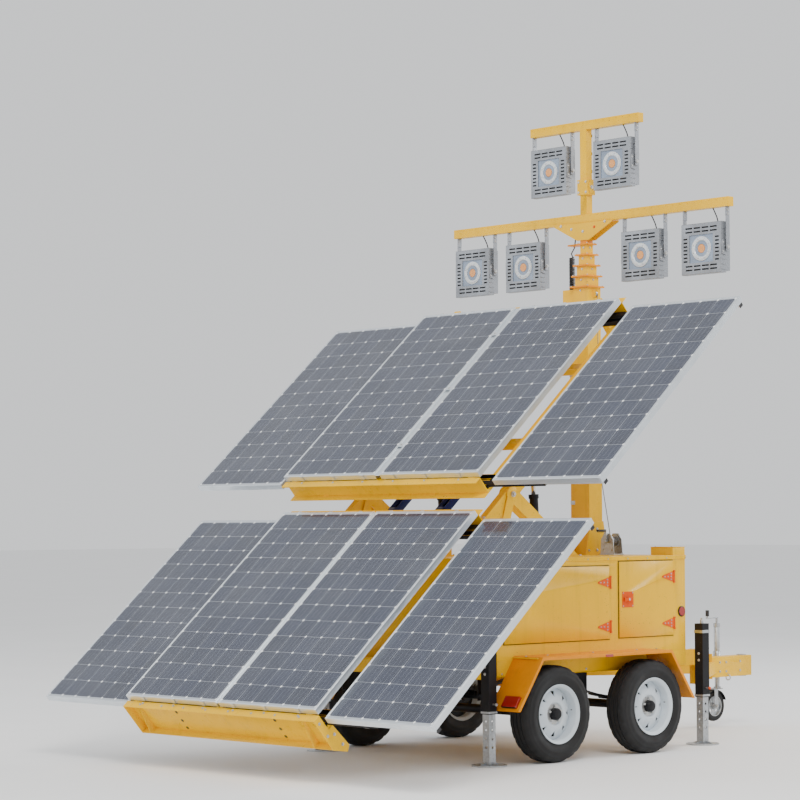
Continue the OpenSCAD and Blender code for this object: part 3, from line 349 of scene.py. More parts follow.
@dataclass(frozen=True)
class SolarCells(Finish):
    """Crystalline cells under glass, drawn in the sheet's own metres: 6 across, 12 along."""

    wide: float = 0.968
    long: float = 1.932
    pitch: float = 0.1585
    gap: float = 0.0021

    def dress(self, shade: Shade) -> None:
        """Cells, corner diamonds, busbars and fingers, with dust on the glass."""
        parts = shade.tree.nodes.new("ShaderNodeSeparateXYZ")
        shade.put(parts.inputs[0], shade.sheet)
        across, along = parts.outputs["X"], parts.outputs["Y"]
        u = shade.calc("DIVIDE", shade.calc("SUBTRACT", across, (self.wide - 6 * self.pitch) / 2),
                       self.pitch)
        v = shade.calc("DIVIDE", shade.calc("SUBTRACT", along, (self.long - 12 * self.pitch) / 2),
                       self.pitch)
        iu, iv = shade.calc("FLOOR", u), shade.calc("FLOOR", v)
        du = shade.calc("ABSOLUTE", shade.calc("SUBTRACT", shade.calc("SUBTRACT", u, iu), 0.5))
        dv = shade.calc("ABSOLUTE", shade.calc("SUBTRACT", shade.calc("SUBTRACT", v, iv), 0.5))
        edge = 0.5 - self.gap / self.pitch / 2
        inside = shade.calc("MULTIPLY", shade.calc("LESS_THAN", du, edge),
                            shade.calc("LESS_THAN", dv, edge))
        corner = shade.calc("GREATER_THAN", shade.calc("ADD", du, dv), 0.925)
        for axis, count in ((u, 6.0), (v, 12.0)):
            inside = shade.calc("MULTIPLY", inside, shade.calc("GREATER_THAN", axis, 0.0))
            inside = shade.calc("MULTIPLY", inside, shade.calc("LESS_THAN", axis, count))
        both = shade.tree.nodes.new("ShaderNodeCombineXYZ")
        shade.put(both.inputs[0], iu)
        shade.put(both.inputs[1], iv)
        lot = shade.tree.nodes.new("ShaderNodeTexWhiteNoise")
        shade.put(lot.inputs["Vector"], both.outputs[0])
        tone = shade.mix(lot.outputs["Value"], self.colour, shade_of(self.colour, 1.55))
        tone = shade.mix(shade.steps(shade.noise(3, 3), 0.4, 0.7, 0, 0.5), tone,
                         shade_of(self.colour, 1.8))
        third = shade.calc("ABSOLUTE", shade.calc("SUBTRACT", shade.calc("FRACT",
                           shade.calc("MULTIPLY", u, 4.0)), 0.5))
        bar = shade.calc("LESS_THAN", third, 0.024)
        tone = shade.mix(shade.calc("MULTIPLY", bar, 0.8), tone, (0.40, 0.43, 0.50))
        finger = shade.calc("LESS_THAN", shade.calc("ABSOLUTE", shade.calc("SUBTRACT", shade.calc(
            "FRACT", shade.calc("MULTIPLY", u, 12.0)), 0.5)), 0.07)
        tone = shade.mix(shade.calc("MULTIPLY", finger, 0.6), tone, (0.22, 0.25, 0.32))
        tone = shade.mix(inside, (0.40, 0.43, 0.47), tone)
        tone = shade.mix(corner, tone, (0.85, 0.87, 0.88))
        dust = shade.steps(shade.noise(2.4, 6), 0.42, 0.78, 0.01, 0.09)
        tone = shade.mix(dust, tone, (0.36, 0.37, 0.38))
        shade.set(Base_Color=tone, Roughness=shade.steps(shade.noise(14, 4), 0.3, 0.7, 0.1, 0.24),
                  Specular_IOR_Level=0.25, Coat_Weight=0.55, Coat_Roughness=0.05)


@dataclass(frozen=True)
class ClearLens(Finish):
    """Tinted lens: clear plastic or glass with fine ribs."""

    rough: float = 0.14
    rib: float = 120.0

    def dress(self, shade: Shade) -> None:
        """A see-into colour with ribs under a smooth face."""
        wave = shade.tree.nodes.new("ShaderNodeTexWave")
        wave.inputs["Scale"].default_value = self.rib
        shade.put(wave.inputs["Vector"], shade.place)
        tone = shade.mix(wave.outputs["Fac"], self.colour, shade_of(self.colour, 0.6))
        shade.set(Base_Color=tone, Roughness=shade.steps(shade.noise(30, 3), 0.3, 0.7,
                  self.rough - 0.05, self.rough + 0.1), Coat_Weight=0.8, Coat_Roughness=0.05,
                  Subsurface_Weight=0.08)
        shade.bump(wave.outputs["Fac"], 0.3, 0.0008)


@dataclass(frozen=True)
class Strand(Finish):
    """Laid wire rope: twisted strands with grease between them."""

    lay: float = 90.0

    def dress(self, shade: Shade) -> None:
        """Slanting bright strands and dark gaps."""
        wave = shade.tree.nodes.new("ShaderNodeTexWave")
        wave.bands_direction = "DIAGONAL"
        wave.inputs["Scale"].default_value = self.lay
        wave.inputs["Distortion"].default_value = 0.6
        shade.put(wave.inputs["Vector"], shade.place)
        tone = shade.mix(wave.outputs["Fac"], shade_of(self.colour, 0.3), self.colour)
        shade.set(Base_Color=tone, Metallic=0.7, Roughness=shade.steps(
            shade.noise(60, 3), 0.3, 0.7, 0.35, 0.6))
        shade.bump(wave.outputs["Fac"], 0.6, 0.001)


@dataclass(frozen=True)
class Ground(Finish):
    """Pale studio floor with a barely mottled matt face."""

    def dress(self, shade: Shade) -> None:
        """Pale matt floor."""
        cloud = shade.noise(0.6, 4)
        shade.set(Base_Color=shade.mix(shade.steps(cloud, 0.3, 0.7), self.colour,
                                       shade_of(self.colour, 0.97)), Roughness=0.85)


class Coat(Enum):
    """Every finish on the trailer."""

    YELLOW = Enamel("yellow_enamel", "yellow_paint", (0.92, 0.52, 0.0), dust=0.06)
    # A darker orange-yellow copy of the yellow enamel, painted as shade on the mudguards and the mast collars.
    SHADED_YELLOW = Enamel("shaded_yellow_enamel", "yellow_paint", (0.84, 0.29, 0.0), dust=0.06)
    ORANGE = Enamel("orange_enamel", "orange_paint", (0.78, 0.09, 0.0), dust=0.05)
    NAVY = Enamel("navy_enamel", "black_paint", (0.008, 0.014, 0.11), dust=0.15, gloss=0.34)
    # Black enamel, also painted as shade on the dark disc inside each wheel rim.
    BLACK = Enamel("black_enamel_and_rim_shade", "black_paint", (0.013, 0.013, 0.015), dust=0.2, gloss=0.36)
    WHITE = Enamel("white_enamel", "rim_paint", (0.66, 0.72, 0.77), dust=0.2, gloss=0.3)
    ZINC = Galvanised("galvanised_steel", "zinc_plate", (0.50, 0.52, 0.54))
    BOLT = Galvanised("plated_bolts", "zinc_plate", (0.58, 0.58, 0.57), spangle=300.0)
    CHROME = BrushedMetal("chromed_rod", "zinc_plate", (0.72, 0.73, 0.75), rough=0.14)
    FRAME = BrushedMetal("anodised_frame", "light_alloy", (0.78, 0.83, 0.87),
                         grain=(0.05, 1, 1), rough=0.34)
    CAST = BrushedMetal("cast_lamp_housing", "light_alloy", (0.34, 0.355, 0.38), rough=0.5)
    # Darker bluish grey, painted as the shade in a lamp's set-back centre and round its LED.
    RECESS_SHADE = Moulded("lamp_recess_shade", "light_alloy", (0.20, 0.25, 0.33), rough=0.5, fade=0.1)
    PLASTIC = Moulded("black_plastic", "cable_rubber", (0.014, 0.014, 0.016))
    # Near-black rubber for seals and plugs, also painted as the shade inside lamp slots and key slots.
    GASKET_AND_SHADE = Moulded("door_gasket_and_shade", "cable_rubber", (0.010, 0.010, 0.011), rough=0.7, fade=0.1)
    CABLE = Moulded("cable_jacket", "cable_rubber", (0.012, 0.012, 0.014), rough=0.5, fade=0.15)
    BACKSHEET = Moulded("panel_backsheet", "solar_glass", (0.60, 0.61, 0.62), fade=0.0)
    BATTERY = Moulded("battery_case", "battery_case", (0.03, 0.03, 0.034))
    CONTROLLER = Enamel("controller_case", "controller_case", (0.62, 0.63, 0.64), dust=0.1)
    RUBBER = TreadRubber("tyre_rubber", "tyre_rubber", (0.006, 0.006, 0.007))
    CELLS = SolarCells("solar_cells", "solar_glass", (0.008, 0.012, 0.030))
    RED = ClearLens("red_lens", "red_lens", (0.50, 0.012, 0.010))
    AMBER = ClearLens("led_phosphor", "light_alloy", (0.95, 0.33, 0.02), rough=0.4, rib=600.0)
    GLASS = ClearLens("lamp_lens_ring", "light_alloy", (0.72, 0.75, 0.78), rough=0.1, rib=40.0)
    ROPE = Strand("wire_rope", "wire_rope", (0.30, 0.30, 0.31))
    FLOOR = Ground("studio_floor", "", (0.90, 0.90, 0.90))


# ------------------------------------------------------------------ mesh work
class Draft:
    """A mesh under construction, in millimetres of the frame that place turns into metres."""

    def __init__(self, name: str, place: Matrix = TRAILER) -> None:
        """Start an empty mesh.

        Args:
            name: name of the piece it becomes.
            place: matrix from its millimetres to the CAD frame.
        """
        self.name = name
        self.place = place
        self.bm = bmesh.new()
        self.uv = self.bm.loops.layers.uv.new("sheet")
        self.coats: List[Coat] = []

    def slot_of(self, coat: Coat) -> int:
        """Number of the material slot that holds a finish."""
        if coat not in self.coats:
            self.coats.append(coat)
        return self.coats.index(coat)

    def take(self, part: bmesh.types.BMesh, coat: Coat, edge: float = 0.0,
             move: Optional[Matrix] = None) -> None:
        """Add a closed part, with its sharp edges broken.

        Args:
            part: the part's mesh, freed here.
            coat: its finish.
            edge: width of the broken edges; 0 leaves them.
            move: matrix that puts the part in place.
        """
        bmesh.ops.recalc_face_normals(part, faces=part.faces)
        if edge:
            sharp = [e for e in part.edges
                     if len(e.link_faces) == 2 and e.calc_face_angle(0.0) > 0.6]
            bmesh.ops.bevel(part, geom=sharp, offset=edge, segments=1, profile=0.5,
                            affect="EDGES", clamp_overlap=True)
        if move is not None:
            part.transform(move)
        number = self.slot_of(coat)
        for face in part.faces:
            face.material_index = number
        step = bpy.data.meshes.new("step")
        part.to_mesh(step)
        part.free()
        self.bm.from_mesh(step)
        bpy.data.meshes.remove(step)

    def block(self, low: Point, high: Point, coat: Coat, edge: float = 1.2) -> None:
        """Add a box with broken edges between two opposite corners, in either order."""
        part = bmesh.new()
        size = Vector([abs(b - a) for a, b in zip(low, high)])
        bmesh.ops.create_cube(part, size=1.0)
        part.transform(Matrix.Translation((Vector(low) + Vector(high)) / 2)
                       @ Matrix.Diagonal((*size, 1.0)))
        self.take(part, coat, min(edge, min(size) * 0.3))

    def prism(self, outline: Sequence[Flat], axis: str, low: float, high: float, coat: Coat,
              edge: float = 1.0, move: Optional[Matrix] = None) -> None:
        """Add an outline drawn out along an axis.

        Args:
            outline: corners in (y, z) for axis x, (x, z) for y and (x, y) for z.
            axis: x, y or z.
            low: one end along the axis.
            high: the other end.
            coat: its finish.
            edge: width of the broken edges.
            move: matrix that puts it in place.
        """
        part = bmesh.new()
        low, high = sorted((low, high))
        order = {"x": (2, 0, 1), "y": (0, 2, 1), "z": (0, 1, 2)}[axis]

        def corner(flat: Flat, level: float) -> bmesh.types.BMVert:
            """One corner of the outline at a level."""
            source = (flat[0], flat[1], level)
            return part.verts.new([source[i] for i in order])

        first = [corner(p, low) for p in outline]
        last = [corner(p, high) for p in outline]
        part.faces.new(first)
        part.faces.new(last[::-1])
        count = len(outline)
        for i in range(count):
            j = (i + 1) % count
            part.faces.new((first[i], first[j], last[j], last[i]))
        self.take(part, coat, edge, move)

    def spin(self, profile: Sequence[Flat], centre: Point, axis: Point, coat: Coat,
             steps: int = 40, edge: float = 0.0) -> None:
        """Add a turned part.

        Args:
            profile: (radius, height) corners, from the axis out and back to the axis, or a
                closed ring where no corner is on the axis.
            centre: where height 0 is.
            axis: the way height grows.
            coat: its finish.
            steps: sides round the axis.
            edge: width of the broken edges.
        """
        part = bmesh.new()
        rings: List[List[bmesh.types.BMVert]] = []
        for radius, height in profile:
            if radius < 1e-6:
                rings.append([part.verts.new((0, 0, height))])
                continue
            rings.append([part.verts.new((radius * math.cos(2 * math.pi * k / steps),
                                          radius * math.sin(2 * math.pi * k / steps), height))
                          for k in range(steps)])
        closed = all(len(r) > 1 for r in rings)
        pairs = list(zip(rings, rings[1:])) + ([(rings[-1], rings[0])] if closed else [])
        for (first, second), k in product(pairs, range(steps)):
            n = (k + 1) % steps
            corners = [first[k % len(first)], first[n % len(first)],
                       second[n % len(second)], second[k % len(second)]]
            unique = list(dict.fromkeys(corners))
            if len(unique) > 2:
                part.faces.new(unique)
        turn = Vector(UP).rotation_difference(Vector(axis)).to_matrix().to_4x4()
        self.take(part, coat, edge, Matrix.Translation(centre) @ turn)

    def disc(self, centre: Point, axis: Point, radius: float, height: float, coat: Coat,
             steps: int = 32, edge: float = 1.0) -> None:
        """Add a short turned pad with a broken rim, standing on centre."""
        trim = min(edge, height * 0.4, radius * 0.3)
        self.spin([(0, 0), (radius, 0), (radius, height - trim), (radius - trim, height),
                   (0, height)], centre, axis, coat, steps)

    def tube(self, route: Sequence[Point], radius: float, coat: Coat, sides: int = 10) -> None:
        """Add a tube along a route, with capped ends."""
        part = bmesh.new()
        spots = [Vector(p) for p in route]
        rings: List[List[bmesh.types.BMVert]] = []
        side = None
        for i, spot in enumerate(spots):
            run = (spots[min(i + 1, len(spots) - 1)] - spots[max(i - 1, 0)]).normalized()
            if side is None:
                side = run.orthogonal().normalized()
            side = (side - run * side.dot(run)).normalized()
            other = run.cross(side)
            rings.append([part.verts.new(spot + radius * (math.cos(a) * side
                                                          + math.sin(a) * other))
                          for a in (2 * math.pi * k / sides for k in range(sides))])
        for (first, second), k in product(zip(rings, rings[1:]), range(sides)):
            n = (k + 1) % sides
            part.faces.new((first[k], first[n], second[n], second[k]))
        part.faces.new(rings[0][::-1])
        part.faces.new(rings[-1])
        self.take(part, coat)

    def bolt(self, at: Point, way: Point, across: float = 17.0, coat: Coat = Coat.BOLT) -> None:
        """Add a washer and a hexagon head that stand on a face.

        Args:
            at: the point on the face.
            way: the face's outward direction.
            across: the head's width over its corners.
            coat: the finish.
        """
        self.disc(at, way, across * 0.72, across * 0.11, coat, 20, 0.4)
        top = Vector(at) + Vector(way).normalized() * across * 0.1
        self.spin([(0, 0), (across / 2, 0), (across / 2, across * 0.32),
                   (across * 0.42, across * 0.4), (0, across * 0.4)], tuple(top), way, coat, 6)

    def sheet(self, low: Flat, high: Flat, level: float, coat: Coat, up: bool = True) -> None:
        """Add one flat face with its own metres as its UV map."""
        corners = [(low[0], low[1]), (high[0], low[1]), (high[0], high[1]), (low[0], high[1])]
        face = self.bm.faces.new([self.bm.verts.new((x, y, level))
                                  for x, y in (corners if up else corners[::-1])])
        face.material_index = self.slot_of(coat)
        for loop in face.loops:
            loop[self.uv].uv = ((loop.vert.co.x - low[0]) / 1000, (loop.vert.co.y - low[1]) / 1000)

    def done(self, body: Optional[str], *stands_for: str, smooth: float = 0.6) -> bpy.types.Object:
        """Finish the piece, and put it on its body.

        Args:
            body: the CAD body that carries it, or None where it rides on no body.
            stands_for: CAD nodes that it replaces.
            smooth: largest angle, in radians, that is shaded smooth.

        Returns:
            The finished piece.
        """
        mesh = bpy.data.meshes.new(self.name)
        self.bm.to_mesh(mesh)
        self.bm.free()
        mesh.transform(self.place)
        return finish_piece(self.name, mesh, self.coats, body, stands_for, smooth)


def finish_piece(name: str, mesh: bpy.types.Mesh, coats: Sequence[Coat], body: Optional[str],
                 stands_for: Iterable[str], smooth: float) -> bpy.types.Object:
    """Dress a mesh, link it and put it on its body.

    Args:
        name: the piece's name.
        mesh: its mesh, in metres.
        coats: finishes in the order of its material slots.
        body: the CAD body that carries it, or None.
        stands_for: CAD nodes that it replaces.
        smooth: largest angle, in radians, that is shaded smooth.

    Returns:
        The piece's object.
    """
    for coat in coats:
        mesh.materials.append(coat.value.material())
    mesh.shade_smooth()
    mesh.set_sharp_from_angle(angle=smooth)
    piece = bpy.data.objects.new(name, mesh)
    bpy.context.scene.collection.objects.link(piece)
    if body is not None:
        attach(piece, body)
    if stands_for:
        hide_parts(*stands_for)
    LOG.info("made %s: %d faces, %d finishes", name, len(mesh.polygons), len(coats))
    return piece


BODY_OF = {n: b for b, members in frame["record"]["behaviour"]["bodies"].items() for n in members}
Test = Callable[[Vector, Vector], bool]


class Skin:
    """A CAD node's own shape with broken edges and a finish for each of its faces."""

    def __init__(self, node: str, base: Coat, rules: Sequence[Tuple[Coat, Test]] = (),
                 place: Matrix = TRAILER, edge: float = 1.2) -> None:
        """Say how a node is dressed.

        Args:
            node: the CAD node.
            base: the finish of every face that no rule takes.
            rules: finishes with tests of a face's centre and direction, the first that
                holds taking the face.
            place: matrix from the tests' millimetres to the CAD frame.
            edge: width of the broken edges, in millimetres.
        """
        self.node = node
        self.base = base
        self.rules = list(rules)
        self.place = place
        self.edge = edge

    def copy_shape(self, edge: float) -> bmesh.types.BMesh:
        """Copy the node's mesh, joined up, cleaned and with its edges broken."""
        shape = bmesh.new()
        shape.from_mesh(frame["nodes"][self.node].data)
        bmesh.ops.remove_doubles(shape, verts=shape.verts, dist=2e-5)
        back = self.place.inverted()
        turn = back.to_3x3().normalized()
        coats = [self.base] + [c for c, _ in self.rules]
        for face in shape.faces:
            centre, way = back @ face.calc_center_median(), turn @ face.normal
            face.material_index = next(
                (coats.index(c) for c, test in self.rules if test(centre, way)), 0)
        if edge:
            bmesh.ops.dissolve_limit(shape, angle_limit=0.01, verts=shape.verts,
                                     edges=shape.edges, delimit={"MATERIAL"})
            sharp = [e for e in shape.edges
                     if len(e.link_faces) == 2 and e.calc_face_angle_signed(0.0) > 0.7]
            bmesh.ops.bevel(shape, geom=sharp, offset=edge / 1000, segments=1, profile=0.5,
                            affect="EDGES", clamp_overlap=True, material=-1)
        return shape

    def make(self) -> bpy.types.Object:
        """Make the piece that stands for the node.

        Returns:
            The piece's object.
        """
        plain = self.copy_shape(0.0)
        amount = plain.calc_volume()
        shape = self.copy_shape(self.edge)
        if abs(shape.calc_volume() - amount) > 0.03 * abs(amount):
            LOG.info("%s keeps its sharp edges", self.node)
            shape.free()
            shape = plain
        else:
            plain.free()
        mesh = bpy.data.meshes.new(self.node + "_skin")
        shape.to_mesh(mesh)
        shape.free()
        coats = [self.base] + [c for c, _ in self.rules]
        return finish_piece(self.node + "_skin", mesh, coats, BODY_OF[self.node], (self.node,), 0.6)


def radius_test(axis: str, a: float, b: float, radius: float) -> Test:
    """A test for faces within a radius of a line along an axis."""
    i, j = {"x": (1, 2), "y": (0, 2), "z": (0, 1)}[axis]
    return lambda c, n: math.hypot(c[i] - a, c[j] - b) < radius


# ------------------------------------------------------------------ arrays
@dataclass
class SolarArray:
    """One array's six-by-twelve-cell panels, their rails and the metalwork between them."""

    label: str
    place: Matrix
    side: float
    gap: float
    panel_w: float = 992.0
    panel_l: float = 1956.0
    depth: float = 45.0
    wall: float = 12.0
    lip: float = 28.0
    side_drop: float = 75.0
    stations: Tuple[float, float] = (32.0, 96.0)

    def panel(self, draft: Draft, x: float, level: float) -> None:
        """Add one panel with its left edge at x and its face at a level.

        Args:
            draft: the mesh it joins.
            x: its left edge.
            level: depth of its face below the centre panels' face.
        """
        w, l, low = self.panel_w, self.panel_l, level - self.depth
        for a, b in ((x, x + self.wall), (x + w - self.wall, x + w)):
            draft.block((a, 0, low), (b, l, level), Coat.FRAME, 0.9)
        for a, b in ((0, self.wall), (l - self.wall, l)):
            draft.block((x + self.wall, a, low), (x + w - self.wall, b, level), Coat.FRAME, 0.9)
        for a, b in ((x + self.wall, x + self.lip), (x + w - self.lip, x + w - self.wall)):
            draft.block((a, self.wall, low), (b, l - self.wall, low + 2), Coat.FRAME, 0.4)
        for a, b in ((self.wall, self.lip), (l - self.lip, l - self.wall)):
            draft.block((x + self.lip, a, low), (x + w - self.lip, b, low + 2), Coat.FRAME, 0.4)
        inner = self.wall
        draft.sheet((x + inner, inner), (x + w - inner, l - inner), level - 1.0, Coat.CELLS)
        draft.sheet((x + inner, inner), (x + w - inner, l - inner), level - 7.0,
                    Coat.BACKSHEET, False)
        mid = x + w / 2
        draft.block((mid - 58, l - 178, level - 30), (mid + 58, l - 92, level - 7), Coat.PLASTIC, 3)
        for way in (-1, 1):
            route = ((40, 180, 20), (60, 230, 24), (150, 300, 26), (320, 330, 26))
            draft.tube([(mid + way * a, l - b, level - c) for a, b, c in route], 3, Coat.CABLE, 8)

    def rails(self, draft: Draft, side: int, station: float) -> None:
        """Add a side panel's two telescopic rails.

        Args:
            draft: the mesh they join.
            side: 1 on the right, -1 on the left.
            station: distance of each rail from the panel's end.
        """
        top = -self.side_drop - self.depth
        x = self.side
        for s in (station, self.panel_l - station):
            groove = [(s - 20, top - 28), (s + 20, top - 28), (s + 20, top - 18),
                      (s + 16, top - 16), (s + 16, top - 12), (s + 20, top - 10), (s + 20, top),
                      (s - 20, top), (s - 20, top - 10), (s - 16, top - 12), (s - 16, top - 16),
                      (s - 20, top - 18)]
            draft.prism(groove, "x", side * (x - 400), side * (x + 450), Coat.BLACK, 0.6)
            thin = [(s - 14, top - 20), (s + 14, top - 20), (s + 14, top - 13), (s + 10, top - 11),
                    (s + 14, top - 8), (s + 14, top), (s - 14, top), (s - 14, top - 8),
                    (s - 10, top - 11), (s - 14, top - 13)]
            end = x + self.panel_w - 6
            draft.prism(thin, "x", side * (x + 450), side * end, Coat.FRAME, 0.5)
            draft.block((side * end, s - 18, top - 26), (side * (end + 6), s + 18, top),
                        Coat.PLASTIC, 1)

    def make(self) -> None:
        """Make the centre pair and the two side panels, in place of their CAD nodes."""
        centre = Draft(f"{self.label}_centre_glass", self.place)
        self.panel(centre, self.gap / 2, 0.0)
        self.panel(centre, -self.gap / 2 - self.panel_w, 0.0)
        centre.block((-self.gap / 2, 1, -14), (self.gap / 2, self.panel_l - 1, -9), Coat.FRAME, 1)
        centre.done(f"{self.label}_array", f"{self.label}_centre_panels")
        for side, word, station in ((1, "right", self.stations[0]), (-1, "left", self.stations[1])):
            wing = Draft(f"{self.label}_{word}_glass", self.place)
            self.panel(wing, self.side if side > 0 else -self.side - self.panel_w, -self.side_drop)
            self.rails(wing, side, station)
            wing.done(f"{self.label}_{word}_side", f"{self.label}_{word}_panel")
        self.clamps()

    def clamps(self) -> None:
        """Make the small clamps and bolts that hold the centre panels to their frame."""
        bits = Draft(f"{self.label}_clamps", self.place)
        for s, x in product((-2.0, self.panel_l + 2.0), (-820, -480, -160, 160, 480, 820)):
            way = -1 if s < 0 else 1
            bits.block((x - 16, s, -40), (x + 16, s + way * 4, 1.0), Coat.FRAME, 0.6)
            bits.block((x - 16, s, 0.2), (x + 16, s - way * 12, 2.4), Coat.FRAME, 0.5)
            bits.bolt((x, s + way * 22, -self.depth), UP, 13)
        for s in (330, 980, 1630):
            if self.gap > 40:
                bits.block((-self.gap / 2 - 8, s - 20, 0.2), (self.gap / 2 + 8, s + 20, 2.6),
                           Coat.FRAME, 0.6)
                bits.bolt((0, s, 2.6), UP, 13)
        bits.done(f"{self.label}_array")


@dataclass
class ArrayMetalwork:
    """The two array frames: painted beams, black rail guides and dark blue runners."""

    guide_z: float = -156.3
    guide_top: float = -122.3
    runner_x: float = 250.0
    runner_out: float = 41.0
    stations: Tuple[float, ...] = (32.0, 96.0, 1860.0, 1924.0)

    def in_guide(self, c: Vector, n: Vector) -> bool:
        """Whether a face is on a black rail guide."""
        near = any(abs(c.y - s) <= 27.5 for s in self.stations)
        return near and self.guide_z - 0.2 < c.z < self.guide_top and n.z > -0.9

    def in_runner(self, low: float, high: float) -> Test:
        """A test for the runners' faces between two depths."""
        return lambda c, n: (abs(abs(c.x) - self.runner_x) <= self.runner_out
                             and low <= c.z <= high)

    def make(self) -> None:
        """Dress both frames, and add their bolts, caps and slide blocks."""
        Skin("upper_frame", Coat.YELLOW, [
            (Coat.NAVY, self.in_runner(-496.5, -437.0)),
            (Coat.BLACK, self.in_guide)], UPPER, 1.4).make()
        Skin("lower_frame", Coat.YELLOW, [
            (Coat.NAVY, self.in_runner(-295.5, -244.5)),
            (Coat.BLACK, self.in_guide)], LOWER, 1.4).make()
        self.upper_bits()
        self.lower_bits()

    def upper_bits(self) -> None:
        """Make the bolts, plugs and end caps on the upper frame."""
        bits = Draft("upper_frame_bolts", UPPER)
        for x in (-740, 740):
            for s, off in product((40, 620, 1240, 1900), (-18, 18)):
                bits.bolt((x + off, s, -449.9), UP, 17)
            bits.block((x - 28, -46, -548), (x + 28, -39.8, -452), Coat.PLASTIC, 2)
        for side in (-1, 1):
            for s in (262, 1614):
                x = side * (1017 + 31)
                bits.block((x - 27, s - 10, -155.9), (x + 27, s + 10, -146), Coat.PLASTIC, 2)
                bits.bolt((x, s, -146), UP, 12)
            for s in (420, 760, 1100, 1440):
                bits.bolt((side * 1079.2, s, -170), (side, 0, 0), 13)
        for x in range(-900, 901, 300):
            bits.bolt((x, 2020.9, -90), AHEAD, 13)
            bits.bolt((x, 1961 - 8, -40), UP, 1.0)
        bits.done("upper_array")

    def lower_bits(self) -> None:
        """Make the bolts, plugs and end caps on the lower frame."""
        bits = Draft("lower_frame_bolts", LOWER)
        for side in (-1, 1):
            for s, z in ((-40, -90), (-40, -200), (10, -230), (20, -330)):
                bits.bolt((side * 1010.2, s, z), (side, 0, 0), 16)
            for z in (-120, -200, -270):
                bits.disc((side * 520, -10.9, z), REAR, 13, 0.8, Coat.GASKET_AND_SHADE, 20, 0.2)
        for x in range(-840, 841, 240):
            bits.bolt((x, -35, -45), UP, 13)
            bits.disc((x + 60, -10.9, -95), REAR, 6, 0.8, Coat.GASKET_AND_SHADE, 16, 0.2)
        for x in (-250, 250):
            bits.block((x - 28, 2281, -293), (x + 28, 2286, -247), Coat.PLASTIC, 2)
        bits.done("lower_array")


